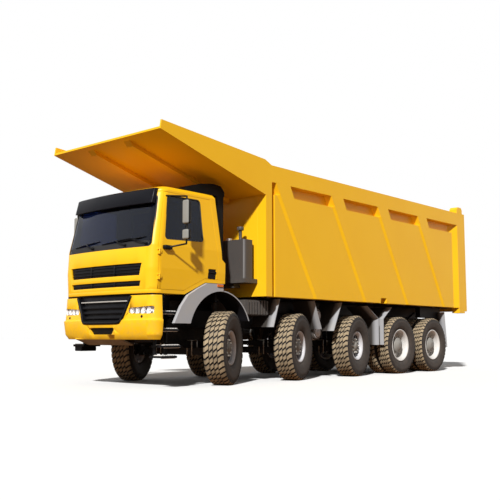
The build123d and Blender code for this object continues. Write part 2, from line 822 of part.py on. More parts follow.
def step_ladder(treads):
    """Entry steps on two hangers with the dark well above, held by an arm from the rail."""
    top = treads[0][0]
    foot = treads[-1][0]
    inner = STEP_INNER_Y
    shape = block(1010, 1420, inner, inner + 15, top, CAB_BOTTOM_Z - CAB_GAP)
    for x in STEP_HANGER_X:
        shape += block(x - STEP_HANGER / 2, x + STEP_HANGER / 2, inner, inner + 60, foot, top + STEP_THICK)
    for z, back, front, outer in treads:
        shape += block(back, front, inner, outer, z, z + STEP_THICK)
    return shape + block(1180, 1280, RAIL_Y, inner + 40, top - 90, top + 10)


def cab_steps():
    """Four steps on the left, three on the right."""
    return Compound([step_ladder(STEP_TREADS), other_side(step_ladder(STEP_TREADS[:RIGHT_TREADS]))])


def flap(points, stay_z):
    """Folded sheet behind or before a wheel with its stay from the rail."""
    outer_y = BED_HALF - FLAP_INSET
    shape = None
    for (xa, za), (xb, zb) in zip(points, points[1:]):
        strip = ((xa, za), (xa + FLAP_THICK, za), (xb + FLAP_THICK, zb), (xb, zb))
        sheet = side_prism(strip, FLAP_INNER_Y, outer_y)
        shape = sheet if shape is None else shape + sheet
    spans = [span for span in zip(points, points[1:]) if span[0][1] >= stay_z >= span[1][1]]
    (xa, za), (xb, zb) = spans[0]
    stay_x = xa + (xb - xa) * (za - stay_z) / (za - zb) + FLAP_THICK / 2
    root_y = RAIL_Y
    if stay_x < BED_HINGE[0] + HINGE_CHEEK_X:
        root_y += HINGE_CHEEK
    return shape + cross_pin(STAY_R, stay_x, stay_z, root_y, FLAP_INNER_Y + 60)


def front_arch():
    """Round guard over a front wheel with the broad flare ahead of it."""
    cx, cz = ARCH_CENTRE
    y0, y1 = ARCH_Y
    hole = cross_pin(ARCH_R, cx, cz, 0, FAR)
    ring = cross_pin(ARCH_R + ARCH_THICK, cx, cz, y0, y1) - hole
    cover = ((-760, 1090), (700, 1090), (900, 1000), (1100, 1000), (1100, 1800), (-760, 1800))
    ring = ring & side_prism(cover, 0, FAR)
    lip = side_prism(FLARE, *FLARE_Y) - hole
    stay = cross_pin(STAY_R, cx - ARCH_R * 0.9, cz + ARCH_R * 0.4359, RAIL_Y, y0 + 120)
    brace = cross_pin(STAY_R, 960, 1120, RAIL_Y, FLARE_Y[0] + 10)
    return ring + lip + stay + brace


def mudguards():
    """Front arches and the folded sheets between the other wheels."""
    solids = pair(front_arch())
    for points, stay_z in FLAPS:
        solids += pair(flap(points, stay_z))
    return Compound(solids)


def oil_tank():
    """Hydraulic tank with its foot, bracket and breather."""
    x0, x1 = TANK_X
    y0, y1 = TANK_Y
    low, high = TANK_Z
    tank = block(x0, x1, y0, y1, low, high)
    tank = fillet(tank.edges().filter_by(Axis.Z), TANK_CORNER)
    tank += block(x0 - TANK_FOOT, x1 + 25, y0 - 40, y1 + 25, low - TANK_FOOT + 5, low + 5)
    tank += block(x0 + 45, x1 - 45, RAIL_Y - RAIL_FLANGE, RAIL_Y, RAIL_Z[1], low - TANK_FOOT + 10)
    tank += block(x0 + 45, x1 - 45, RAIL_Y - 20, y1 - 290, low - 145, low - TANK_FOOT + 10)
    x, y = BREATHER
    tank += bar(BREATHER_R, (x, y, high - 10), (x, y, high + 190))
    return tank + bar(BREATHER_CAP_R, (x, y, high + 180), (x, y, high + 240))


def battery_box():
    """Box on the left rail with a ribbed outer face."""
    x0, x1 = BATTERY_X
    low, high = BATTERY_Z
    box = block(x0, x1, RAIL_Y, BATTERY_Y, low, high)
    for i in range(BATTERY_RIBS):
        x = x0 + 15 + BATTERY_PITCH * i
        box += block(x, x + 40, BATTERY_Y - 10, BATTERY_Y + 30, low + 15, high - 10)
    return box


def reservoir(z):
    """Air bottle with domed ends on a bracket from the rail."""
    y0, y1 = RESERVOIR_Y
    low = RAIL_Z[0]
    bottle = cross_pin(RESERVOIR_R, RESERVOIR_X, z, y0, y1)
    bottle = fillet(bottle.edges(), 70)
    bottle += cross_pin(60, RESERVOIR_X, max(z, low + 70), RAIL_Y, y0 + 20)
    if z < low:
        bottle += block(RESERVOIR_X - 60, RESERVOIR_X + 60, RAIL_Y, y0 + 20, z - 60, low + 120)
    return bottle


def chassis_tanks():
    """Hydraulic tank, battery box and air reservoirs on the rails."""
    solids = [oil_tank(), battery_box()]
    for z in RESERVOIR_Z:
        solids += pair(reservoir(z))
    return Compound(solids)


def air_intake():
    """Black intake duct up the back of the cab with a hood over the roof."""
    front = CAB_REAR_X
    back = front - INTAKE_DEPTH
    y0, y1 = INTAKE_Y
    duct = block(back, front, y0, y1, 1740, 3330)
    duct = fillet(duct.edges().filter_by(Axis.Z), 40)
    hood = (
        (back, 3275),
        (back, 3370),
        (back + 90, 3460),
        (front + 60, 3480),
        (360, 3440),
        (720, 3340),
        (740, 3275),
    )
    return duct + side_prism(hood, y0, y1, 25)


def mirror_left():
    """Main and wide-angle mirror heads on their two bent arms."""
    x, y = MIRROR_X, MIRROR_Y
    shape = bar(20, (x, y, MIRROR_HEADS[0][1] - 30), (x, y, MIRROR_HEADS[1][0] + 30))
    for low, high in MIRROR_HEADS:
        width, depth = MIRROR_WIDTH / 2, MIRROR_DEPTH / 2
        head = block(x - depth, x + depth, y - width, y + width, low, high)
        shape += fillet(head.edges(), MIRROR_ROUND)
    foot = MIRROR_HEADS[0][0]
    top = MIRROR_HEADS[1][1]
    shape += bent_bar(MIRROR_ARM_R, ((1305, 1060, 3085), (x, y, top + 60), (x, y, top - 40)))
    shape += bent_bar(MIRROR_ARM_R, ((1330, 1190, 2230), (x, y, foot - 70), (x, y, foot + 40)))
    base = block(1255, 1425, 1120, 1232, 2195, 2265)
    shape += fillet(base.edges(), 25)
    return shape - cab_solid(0)


def seats():
    """Two seats on pedestals."""
    shape = block(360, 860, 330, 830, 2010, 2150)
    back = ((360, 2120), (470, 2120), (380, 2870), (270, 2870))
    shape += side_prism(back, 340, 820)
    shape += block(430, 800, 430, 730, CAB_ARCH_Z + CAB_WALL, 2020)
    return Compound(pair(shape))


def dashboard():
    """Dashboard, pedestal, steering column and wheel."""
    desk = ((1250, 2080), (1450, 2000), (1450, 2230), (1330, 2290), (1250, 2240))
    shape = side_prism(desk, -1040, 1040)
    shape += block(1340, 1440, -900, 900, CAB_BOTTOM_Z + CAB_WALL, 2080)
    hub = (1010, 580, 2330)
    root = (1300, 580, 2150)
    plane = Plane(origin=hub, z_dir=Vector(*hub) - Vector(*root))
    shape += bar(35, root, hub)
    shape += plane * (Cylinder(235, 32) - Cylinder(200, 40))
    return shape + plane * Box(60, 420, 24)


def bed_floor():
    """Floor plate with cross bearers, runners, hinge bosses and the cylinder's pin."""
    half = BED_PANEL_Y - BED_WALL
    front, back = BED_FRONT_X - BED_WALL, REAR_POST_X[2]
    plate_low = BED_FLOOR_Z - BED_WALL
    under = plate_low + 10
    shape = block(back, front, -half, half, plate_low, BED_FLOOR_Z)
    count = int((front - back - 200) / BEARER_PITCH) + 1
    for i in range(count):
        x = front - 200 - BEARER_PITCH * i
        shape += block(x - BEARER_WIDTH, x, -half, half, BED_BOTTOM_Z - 20, under)
    y0 = RUNNER_Y - RUNNER_WIDTH / 2
    y1 = RUNNER_Y + RUNNER_WIDTH / 2
    hinge_x, hinge_z = BED_HINGE
    boss_r = HINGE_PIN_R + 50
    runner = block(hinge_x, front - 150, y0, y1, RAIL_Z[1] + 10, under)
    runner += cross_pin(boss_r, hinge_x, hinge_z, y0, y1)
    runner += block(hinge_x - boss_r, hinge_x, y0, y1, hinge_z, under)
    runner -= cross_pin(HINGE_PIN_R + PIN_GAP, hinge_x, hinge_z, 0, FAR)
    shape = shape + runner + other_side(runner)
    top_x, top_z = hoist_pin(HOIST_TOP_Z)
    ear_y = HOIST_TUBE_R[0] - HOIST_EAR
    ear = block(top_x - 80, top_x + 80, ear_y, ear_y + HOIST_EAR, top_z - 60, under)
    shape = shape + ear + other_side(ear)
    return shape + cross_pin(HOIST_PIN_R, top_x, top_z, -ear_y - HOIST_EAR, ear_y + HOIST_EAR)


def bed_side():
    """Left side wall: recessed panel, top rail, slanted ribs, end posts and the notch below."""
    inner = BED_PANEL_Y - BED_WALL
    sunk = BED_PANEL_Y - RIB_SINK
    post_front, post_flat, post_back = REAR_POST_X
    shape = block(post_back, BED_FRONT_X, inner, BED_PANEL_Y, BED_BOTTOM_Z, CANOPY_ROOT_Z)
    shape += block(post_back, BED_POST_X, inner, BED_PANEL_Y, BED_BOTTOM_Z, RAIL_TOP_Z)
    shape += block(post_flat, BED_POST_X, inner, BED_HALF, RAIL_LOW_Z, RAIL_TOP_Z)
    shape += block(BED_POST_X, BED_FRONT_X, inner, BED_HALF, BED_BOTTOM_Z, CANOPY_ROOT_Z)
    rib_top = RAIL_LOW_Z + 10
    lean = RIB_LEAN * (rib_top - BED_BOTTOM_Z) / (RAIL_LOW_Z - BED_BOTTOM_Z)
    for x in RIB_FRONT_X:
        foot = x - RIB_LEAN
        head = foot + lean
        outline = (
            (foot, BED_BOTTOM_Z),
            (head, rib_top),
            (head - RIB_WIDTH, rib_top),
            (foot - RIB_WIDTH, BED_BOTTOM_Z),
        )
        shape += side_prism(outline, sunk, BED_HALF)
    low, high = POST_Z
    plan = (
        (post_front, sunk),
        (post_flat, BED_HALF),
        (post_back, BED_HALF),
        (post_back, inner),
        (post_front, inner),
    )
    shape += plan_prism(plan, BED_BOTTOM_Z, RAIL_TOP_Z)
    shape += block(post_back, post_flat, inner, BED_HALF, low, BED_BOTTOM_Z + 1)
    lug = (
        (post_flat, RAIL_TOP_Z - 1),
        (post_back, RAIL_TOP_Z - 1),
        (post_back, high - POST_CORNER),
        (post_back + POST_CORNER, high),
        (post_flat - POST_CORNER, high),
        (post_flat, high - POST_CORNER),
    )
    shape += side_prism(lug, inner, BED_HALF)
    front, back = NOTCH_X
    notch = (
        (front, BED_BOTTOM_Z - 1),
        (front - NOTCH_SLANT, NOTCH_TOP_Z),
        (back + NOTCH_SLANT, NOTCH_TOP_Z),
        (back, BED_BOTTOM_Z - 1),
    )
    shape -= side_prism(notch, inner - 1, BED_HALF + 1)
    pin_x, pin_z = GATE_PIN
    return shape + cross_pin(GATE_PIN_R, pin_x, pin_z, inner - 85, inner + 1)


def bed_front_wall():
    """Front wall between the side walls."""
    inner = BED_PANEL_Y - BED_WALL
    return block(BED_FRONT_X - BED_WALL, BED_FRONT_X, -inner, inner, BED_BOTTOM_Z, CANOPY_ROOT_Z)


def bed_canopy():
    """Sloped shield over the cab with side plates and two ribs below."""
    slope = (CANOPY_FRONT_Z - CANOPY_ROOT_Z) / (CANOPY_FRONT_X - BED_FRONT_X)
    back = BED_FRONT_X - BED_WALL
    plate = (
        (BED_POST_X, CANOPY_ROOT_Z),
        (BED_FRONT_X, CANOPY_ROOT_Z),
        (CANOPY_FRONT_X, CANOPY_FRONT_Z),
        (CANOPY_FRONT_X, CANOPY_FRONT_Z + CANOPY_THICK),
        (BED_FRONT_X, CANOPY_ROOT_Z + CANOPY_THICK),
        (back, CANOPY_ROOT_Z + CANOPY_THICK),
        (back, RAIL_TOP_Z),
        (BED_POST_X, RAIL_TOP_Z),
    )
    edge = BED_HALF - CANOPY_CHEEK + 10
    shape = side_prism(plate, -edge, edge)
    cheek = (
        (BED_FRONT_X, CANOPY_ROOT_Z),
        (CANOPY_FRONT_X, CANOPY_FRONT_Z),
        (CANOPY_FRONT_X - 25, CANOPY_TOP_Z),
        (BED_FRONT_X + 20, RAIL_TOP_Z + 80),
        (BED_POST_X, RAIL_TOP_Z),
        (BED_POST_X, CANOPY_ROOT_Z),
    )
    side = side_prism(cheek, BED_HALF - CANOPY_CHEEK, BED_HALF)
    shape = shape + side + other_side(side)
    start, end = BED_FRONT_X + 40, CANOPY_FRONT_X - CANOPY_RIB_INSET
    low = CANOPY_ROOT_Z + slope * (start - BED_FRONT_X)
    high = CANOPY_ROOT_Z + slope * (end - BED_FRONT_X)
    rib = (
        (start, low + 10),
        (end, high + 10),
        (end - CANOPY_RIB_DEPTH, high - CANOPY_RIB_DEPTH),
        (start, low - CANOPY_RIB_DEPTH + 10),
    )
    for y in CANOPY_RIB_Y:
        shape += side_prism(rib, y - CANOPY_RIB_WIDTH / 2, y + CANOPY_RIB_WIDTH / 2)
    return shape


def tailgate():
    """Ribbed gate hung from pins on the rear posts."""
    front = REAR_POST_X[2] - GATE_GAP
    low, high = POST_Z[0] + 50, RAIL_TOP_Z + 10
    half = BED_HALF - 10
    skin = front - GATE_SKIN
    shape = block(skin, front, -half, half, low, high)
    for z in (low, (low + high - GATE_BAR) / 2, high - GATE_BAR):
        shape += block(GATE_BACK_X, skin + 10, -half, half, z, z + GATE_BAR)
    for y in (-half, -half / 3 - GATE_POST / 2, half / 3 - GATE_POST / 2, half - GATE_POST):
        shape += block(GATE_BACK_X, skin + 10, y, y + GATE_POST, low, high)
    pin_x, pin_z = GATE_PIN
    inner = BED_PANEL_Y - BED_WALL
    arm = (
        (front - 20, high - 200),
        (GATE_BACK_X, high - 200),
        (GATE_BACK_X, high),
        (pin_x - 30, pin_z + 75),
        (pin_x + 60, pin_z + 60),
        (pin_x + 80, pin_z - 30),
        (pin_x + 20, pin_z - 75),
        (front + 2, high - 60),
    )
    hook = side_prism(arm, inner - 75, inner - 12)
    hook -= cross_pin(GATE_PIN_R + PIN_GAP, pin_x, pin_z, 0, FAR)
    return shape + hook + other_side(hook)


def hoist():
    """Barrel and three telescoping stages, built upright and leaned onto the line of the pins."""
    base_x, base_z = hoist_pin(HOIST_BASE_Z)
    top_x, top_z = hoist_pin(HOIST_TOP_Z)
    reach = Vector(top_x - base_x, 0, top_z - base_z)
    plane = Plane(origin=(base_x, 0, base_z), x_dir=(0, 1, 0), z_dir=reach)
    seat = (Align.CENTER, Align.CENTER, Align.MIN)
    collar = reach.length - HOIST_COLLAR
    tubes = []
    for i, radius in enumerate(HOIST_TUBE_R):
        low = HOIST_STEP * i - HOIST_BELOW
        high = collar + 20 * i
        tubes.append(Pos(0, 0, low) * Cylinder(radius, high - low, align=seat))
    pin = Rot(0, 90, 0) * Cylinder(HOIST_PIN_R, 2 * (HOIST_TUBE_R[0] + 42 + HOIST_EAR))
    tubes[0] += pin
    for i, radius in enumerate(HOIST_TUBE_R[1:]):
        bore_z = HOIST_STEP * (i + 1) - HOIST_BELOW - 5
        tubes[i] -= Pos(0, 0, bore_z) * Cylinder(radius + PIN_GAP, FAR, align=seat)
    head = Pos(0, 0, collar + 50) * Box(130, 130, 200, align=seat)
    head -= Pos(0, 0, reach.length) * Rot(0, 90, 0) * Cylinder(HOIST_PIN_R + PIN_GAP, 400)
    head -= Pos(0, 0, reach.length) * Box(400, 2 * (HOIST_PIN_R + PIN_GAP), 400, align=seat)
    tubes[-1] += head
    names = ("hoist_barrel", "hoist_stage_1", "hoist_stage_2", "hoist_stage_3")
    return {name: plane * tube for name, tube in zip(names, tubes)}


def wheel_sets():
    """Tyres, rims and knuckles of every axle, turned to the rest steering angle."""
    nodes = {}
    single = {"tyre": single_tyre(), "rim": single_rim(), "knuckle": knuckle()}
    twin = {"tyre": twin_tyres(), "rim": twin_rims()}
    for i, x in enumerate(AXLE_X):
        kinds = single if i < STEERED_AXLES else twin
        for kind, shape in kinds.items():
            for side, sign in (("left", 1), ("right", -1)):
                part = shape if sign > 0 else other_side(shape)
                if i < STEERED_AXLES:
                    pivot = Pos(0, sign * KINGPIN_Y, 0)
                    part = pivot * Rot(0, 0, REST_STEER[i]) * pivot.inverse() * part
                nodes[f"{kind}_{i + 1}_{side}"] = Pos(x, 0, 0) * part
    return nodes


def all_nodes():
    """Every named piece in stations from the front axle."""
    nodes = {**wheel_sets(), **cab(), **front_end(), **hoist()}
    nodes["bed_sides"] = Compound(pair(bed_side()))
    makers = (
        axles, leaf_springs, chassis_frame, engine, sun_visor, cab_steps, mudguards, chassis_tanks,
        air_intake, mirror_left, seats, dashboard, bed_floor, bed_front_wall, bed_canopy, tailgate,
    )
    for maker in makers:
        nodes[maker.__name__] = maker()
    for left in ("door", "door_glass", "mirror"):
        nodes[f"{left}_right"] = other_side(nodes[f"{left}_left"])
    return nodes


def place(shape):
    """Move a piece so that the truck's length is centred on X = 0."""
    return Pos(-(CANOPY_FRONT_X + GATE_BACK_X) / 2, 0, 0) * shape


os.makedirs("parts", exist_ok=True)
for name, shape in all_nodes().items():
    export_step(place(shape), f"parts/{name}.step")
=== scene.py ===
"""Five-axle dump truck: finishes, tyre tread, wheels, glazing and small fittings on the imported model."""

import json
from math import cos, pi, radians, sin

import bmesh
import bpy
from mathutils import Matrix, Vector
from mathutils.bvhtree import BVHTree


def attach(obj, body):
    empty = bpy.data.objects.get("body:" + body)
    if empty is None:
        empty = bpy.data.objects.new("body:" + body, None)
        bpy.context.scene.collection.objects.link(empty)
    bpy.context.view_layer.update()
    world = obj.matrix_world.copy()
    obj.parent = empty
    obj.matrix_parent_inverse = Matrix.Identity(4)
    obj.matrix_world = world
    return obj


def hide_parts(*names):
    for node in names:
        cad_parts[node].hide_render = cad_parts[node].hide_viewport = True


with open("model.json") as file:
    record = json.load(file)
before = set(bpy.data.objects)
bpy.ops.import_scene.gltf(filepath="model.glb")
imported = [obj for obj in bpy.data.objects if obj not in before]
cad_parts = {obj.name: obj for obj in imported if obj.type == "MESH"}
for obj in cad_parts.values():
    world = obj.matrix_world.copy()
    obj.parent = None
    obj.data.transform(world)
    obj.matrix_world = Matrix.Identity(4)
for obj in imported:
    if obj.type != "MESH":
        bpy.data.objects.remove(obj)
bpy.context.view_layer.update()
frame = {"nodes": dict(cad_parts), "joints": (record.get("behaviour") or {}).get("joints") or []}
NODES = frame["nodes"]
JOINTS = {joint["name"]: joint for joint in frame["joints"]}
SIDES = (("left", 1), ("right", -1))
AXLES = (1, 2, 3, 4, 5)
STEERED = (1, 2, 3)
FORWARD = Vector((1, 0, 0))
LEFT = Vector((0, 1, 0))
UP = Vector((0, 0, 1))

# Places in metres along X are counted from the front axle, as in the part's drawings
FRONT_AXLE_X = JOINTS["steer_1_left"]["pos_m"][0]


def at(x, y, z):
    """Point given by its distance from the front axle."""
    return Vector((x + FRONT_AXLE_X, y, z))


def corners_of(start, end, low, high):
    """Corners of a rectangle in order, across and up."""
    return (start, low), (end, low), (end, high), (start, high)


def linear(hex_colour):
    """sRGB hex to linear RGBA."""
    values = [int(hex_colour[i:i + 2], 16) / 255 for i in (1, 3, 5)]
    return (*[v / 12.92 if v <= 0.04045 else ((v + 0.055) / 1.055) ** 2.4 for v in values], 1.0)


def per_metre(size_mm):
    """Pattern scale at which one blotch or thread measures about size_mm."""
    return 1000.0 / size_mm


def output_of(source):
    """A node stands for its first output in use."""
    if isinstance(source, bpy.types.NodeSocket):
        return source
    return next(socket for socket in source.outputs if socket.enabled)


def add(material, kind, settings=None, **links):
    """Add a node: settings fill properties or sockets, links join other nodes to its sockets."""
    tree = material.node_tree
    node = tree.nodes.new("ShaderNode" + kind)
    for key, value in (settings or {}).items():
        if isinstance(key, int) or key in node.inputs:
            node.inputs[key].default_value = value
        else:
            setattr(node, key, value)
    for key, source in links.items():
        socket = node.inputs[int(key[1:])] if key[0] == "_" else node.inputs[key.replace("_", " ")]
        tree.links.new(output_of(source), socket)
    return node


def span(low, high, start=0.0, end=1.0):
    """Map range settings: low to high comes in, start to end goes out."""
    return {1: low, 2: high, 3: start, 4: end}


def tones(first=None, second=None):
    """Colour mix settings; a colour that is left out comes by a link."""
    settings = {"data_type": "RGBA"}
    for socket, colour in ((6, first), (7, second)):
        if colour:
            settings[socket] = linear(colour)
    return settings


def shader_of(material):
    """The material's surface shader."""
    return material.node_tree.nodes["Principled BSDF"]


def new_material(name, **values):
    """Material whose uniform values are set on the shader's own sockets."""
    material = bpy.data.materials.new(name)
    material.use_nodes = True
    for key, value in values.items():
        shader_of(material).inputs[key.replace("_", " ")].default_value = value
    return material


def feed(material, **sources):
    """Join nodes to the shader's sockets."""
    for key, source in sources.items():
        material.node_tree.links.new(output_of(source), shader_of(material).inputs[key.replace("_", " ")])


def enamel(name, colour, worn, dust, roughness, dust_top, dirt=0.3, skid=None):
    """Sprayed enamel: an even gloss with faint orange peel, dulled by road dust that thickens downwards."""
    material = new_material(name, Specular_IOR_Level=0.25, IOR=1.5)
    place = add(material, "TexCoord").outputs["Object"]
    cloud = add(material, "TexNoise", {"Scale": per_metre(900), "Detail": 4.0}, Vector=place)
    fade = add(material, "MapRange", span(0.35, 0.7, 0.0, 0.5), Value=cloud)
    coat = add(material, "Mix", tones(colour, worn), _0=fade)
    height = add(material, "SeparateXYZ", None, Vector=place).outputs["Z"]
    low = add(material, "MapRange", span(dust_top, dust_top - DUST_DEPTH), Value=height)
    settings = {"Scale": per_metre(70), "Detail": 8.0, "Roughness": 0.7}
    specks = add(material, "TexNoise", settings, Vector=place)
    speckled = add(material, "MapRange", span(0.42, 0.68, 0.0, dirt), Value=specks)
    film = add(material, "Math", {"operation": "MULTIPLY"}, _0=low, _1=speckled)
    coat = add(material, "Mix", tones(None, dust), _0=film, _6=coat)
    gloss = add(material, "MapRange", span(0.0, 1.0, roughness, roughness + 0.4), Value=film)
    # Orange peel is about 6 mm across, drawn three times as coarse so that it shows
    peel = add(material, "TexNoise", {"Scale": per_metre(18), "Detail": 1.0}, Vector=place)
    skin = add(material, "Bump", {"Distance": 0.0004, "Strength": 0.2}, Height=peel)
    if skid:
        # A bare, scraped skid plate hangs below the paint
        edge, bare = skid
        under = add(material, "Math", {"operation": "LESS_THAN", 1: edge}, _0=height)
        coat = add(material, "Mix", tones(None, bare), _0=under, _6=coat)
    feed(material, Base_Color=coat, Roughness=gloss, Normal=skin)
    return material


def scuffed_enamel(name, colour, steel, under, under_top):
    """Loading floor: enamel rubbed through to dull steel along the load's path, black below, for dark
    bearers and as painted shade under the bed.
    """
    material = new_material(name, IOR=1.5)
    place = add(material, "TexCoord").outputs["Object"]
    # Scratches run the length of the bed, about 25 mm apart and ten times as long
    stretched = add(material, "Mapping", {"Scale": (0.1, 1.0, 1.0)}, Vector=place)
    settings = {"Scale": per_metre(25), "Detail": 6.0, "Roughness": 0.7}
    scratches = add(material, "TexNoise", settings, Vector=stretched)
    bare = add(material, "MapRange", span(0.5, 0.62, 0.0, 0.7), Value=scratches)
    top = add(material, "Mix", tones(colour, steel), _0=bare)
    height = add(material, "SeparateXYZ", None, Vector=place).outputs["Z"]
    # Black below the floor's top: the bearers' dark paint, and painted shade under the bed
    above = add(material, "MapRange", span(under_top, under_top + 0.01), Value=height)
    coat = add(material, "Mix", tones(under), _0=above, _7=top)
    wear = add(material, "MapRange", span(0.0, 1.0, 0.45, 0.7), Value=scratches)
    relief = add(material, "Bump", {"Distance": 0.001, "Strength": 0.3}, Height=scratches)
    feed(material, Base_Color=coat, Roughness=wear, Normal=relief)
    return material


def moulded_plastic(name, colour, dusty, roughness, grain_mm=6):
    """Moulded plastic: satin, with a fine leather-like grain and a film of dust in its hollows."""
    material = new_material(name, IOR=1.46, Specular_IOR_Level=0.14)
    place = add(material, "TexCoord").outputs["Object"]
    cloud = add(material, "TexNoise", {"Scale": per_metre(220), "Detail": 6.0}, Vector=place)
    film = add(material, "MapRange", span(0.4, 0.75, 0.0, 0.5), Value=cloud)
    tone = add(material, "Mix", tones(colour, dusty), _0=film)
    wear = add(material, "MapRange", span(0.0, 1.0, roughness, roughness + 0.3), Value=film)
    hide = add(material, "TexVoronoi", {"Scale": per_metre(grain_mm)}, Vector=place)
    relief = add(material, "Bump", {"Distance": 0.0005, "Strength": 0.35}, Height=hide)
    feed(material, Base_Color=tone, Roughness=wear, Normal=relief)
    return material


def guard_plastic(name, colour, dusty, inside, flap_shade, roughness):
    """Polyethylene guards: chalky grey, black in the front arches' hollow, darker inward on the flaps as
    painted shade.
    """
    material = moulded_plastic(name, colour, dusty, roughness)
    grey = shader_of(material).inputs["Base Color"].links[0].from_socket
    place = add(material, "TexCoord").outputs["Object"]
    axes = add(material, "SeparateXYZ", None, Vector=place)
    length = axes.outputs["X"]
    width = add(material, "Math", {"operation": "ABSOLUTE"}, _0=axes.outputs["Y"])
    flare_x = at(ARCH_FLARE_X, 0, 0).x
    rear = add(material, "MapRange", span(flare_x, flare_x - 0.001, ARCH_FLARE_Y, ARCH_LIP_Y), Value=length)
    hollow = add(material, "Math", {"operation": "LESS_THAN"}, _0=width, _1=rear)
    arches = add(material, "Mix", tones(None, inside), _0=hollow, _6=grey)
    # Painted shade: the flaps go dark towards the middle of the truck, where the bed shades them
    flap_shade_mask = add(material, "MapRange", span(FLAP_UNSHADED_Y, FLAP_SHADED_Y), Value=width)
    flaps = add(material, "Mix", tones(None, flap_shade), _0=flap_shade_mask, _6=grey)
    behind = add(material, "Math", {"operation": "LESS_THAN", 1: at(ARCH_END_X, 0, 0).x}, _0=length)
    tone = add(material, "Mix", tones(), _0=behind, _6=arches, _7=flaps)
    feed(material, Base_Color=tone)
    return material


def mirror_plastic(name, colour, dusty, back, roughness):
    """Lacquered mirror heads: silver on the front of each shell, bare black plastic on its rim and arms."""
    material = moulded_plastic(name, colour, dusty, roughness)
    silver = shader_of(material).inputs["Base Color"].links[0].from_socket
    place = add(material, "TexCoord").outputs["Object"]
    axes = add(material, "SeparateXYZ", None, Vector=place)
    settings = {"operation": "GREATER_THAN", 1: at(MIRROR_SHELL_X, 0, 0).x}
    lacquer = add(material, "Math", settings, _0=axes.outputs["X"])
    heads = []
    for low, high in MIRROR_HEADS_Z:
        settings = {"operation": "COMPARE", 1: (low + high) / 2, 2: (high - low) / 2}
        heads.append(add(material, "Math", settings, _0=axes.outputs["Z"]))
    head = add(material, "Math", {"operation": "MAXIMUM"}, _0=heads[0], _1=heads[1])
    front = add(material, "Math", {"operation": "MULTIPLY"}, _0=lacquer, _1=head)
    tone = add(material, "Mix", tones(back), _0=front, _7=silver)
    feed(material, Base_Color=tone)
    return material


def vulcanised_rubber(name, colour, dusty, share):
    """Vulcanised rubber: matt black that goes grey-brown where dry dust sits in its pores."""
    material = new_material(name, IOR=1.5)
    place = add(material, "TexCoord").outputs["Object"]
    settings = {"Scale": per_metre(130), "Detail": 7.0, "Roughness": 0.65}
    patches = add(material, "TexNoise", settings, Vector=place)
    patchy = add(material, "MapRange", span(0.34, 0.6, 0.35), Value=patches)
    pores = add(material, "TexNoise", {"Scale": per_metre(14), "Detail": 3.0}, Vector=place)
    held = add(material, "MapRange", span(0.35, 0.7, 0.6 * share, share), Value=pores)
    cover = add(material, "Math", {"operation": "MULTIPLY"}, _0=patchy, _1=held)
    tone = add(material, "Mix", tones(colour, dusty), _0=cover)
    wear = add(material, "MapRange", span(0.0, 1.0, 0.62, 0.95), Value=cover)
    relief = add(material, "Bump", {"Distance": 0.0008, "Strength": 0.5}, Height=pores)
    feed(material, Base_Color=tone, Roughness=wear, Normal=relief)
    return material


def plated_steel(name, colour, roughness, smear_mm=40):
    """Ground, galvanised or silvered metal: bright, with faint wiping smears."""
    material = new_material(name, Metallic=1.0, Base_Color=linear(colour))
    place = add(material, "TexCoord").outputs["Object"]
    smears = add(material, "TexNoise", {"Scale": per_metre(smear_mm), "Detail": 5.0}, Vector=place)
    wear = add(material, "MapRange", span(0.0, 1.0, roughness, roughness + 0.25), Value=smears)
    feed(material, Roughness=wear)
    return material


def clear_glass(name, colour, transmission, roughness=0.02, alpha=1.0):
    """Float glass or clear plastic, tinted through, with a faint film of dust that blurs the gloss; on the
    windows the navy tint is painted reflection of a dark sky.
    """
    # An index below the real 1.5 keeps the white room's reflection as faint as the open sky's
    material = new_material(name, IOR=1.32, Base_Color=linear(colour), Alpha=alpha)
    shader_of(material).inputs["Transmission Weight"].default_value = transmission
    place = add(material, "TexCoord").outputs["Object"]
    film = add(material, "TexNoise", {"Scale": per_metre(350), "Detail": 6.0}, Vector=place)
    wear = add(material, "MapRange", span(0.45, 0.8, roughness, roughness + 0.1), Value=film)
    feed(material, Roughness=wear)
    return material


def seat_cloth(name, colour, thread):
    """Woven seat cloth: a plain weave, drawn about eight times as coarse as its 2 mm thread to show."""
    material = new_material(name, Roughness=0.9, Sheen_Weight=0.3)
    place = add(material, "TexCoord").outputs["Object"]
    # A wave texture repeats about every third of its scale's unit
    settings = {"wave_type": "BANDS", "bands_direction": "DIAGONAL", "Distortion": 1.0}
    settings["Scale"] = per_metre(16) * 0.3
    threads = add(material, "TexWave", settings, Vector=place).outputs["Fac"]
    tone = add(material, "Mix", tones(colour, thread), _0=threads)
    relief = add(material, "Bump", {"Distance": 0.001, "Strength": 0.5}, Height=threads)
    feed(material, Base_Color=tone, Normal=relief)
    return material


# Road dust fades out over this height, up to the top that each enamel gives
DUST_DEPTH = 1.1
# The front arch is black inside: as far out as the flare's back, and behind the flare as far as its lip
ARCH_FLARE_X = 0.055
ARCH_FLARE_Y = 1.149
ARCH_LIP_Y = 1.184
ARCH_END_X = -1.0
# The flaps carry painted shade as far out as the first of these, and none from the second
FLAP_SHADED_Y = 1.12
FLAP_UNSHADED_Y = 1.23
# The mirror shells are lacquered in front of this place, and these are the heights of the two heads
MIRROR_SHELL_X = 1.180
MIRROR_HEADS_Z = ((2.355, 2.515), (2.605, 2.990))
# Top of the bumper's bare skid plate, and its colour
SKID = (0.769, "#8A7C66")

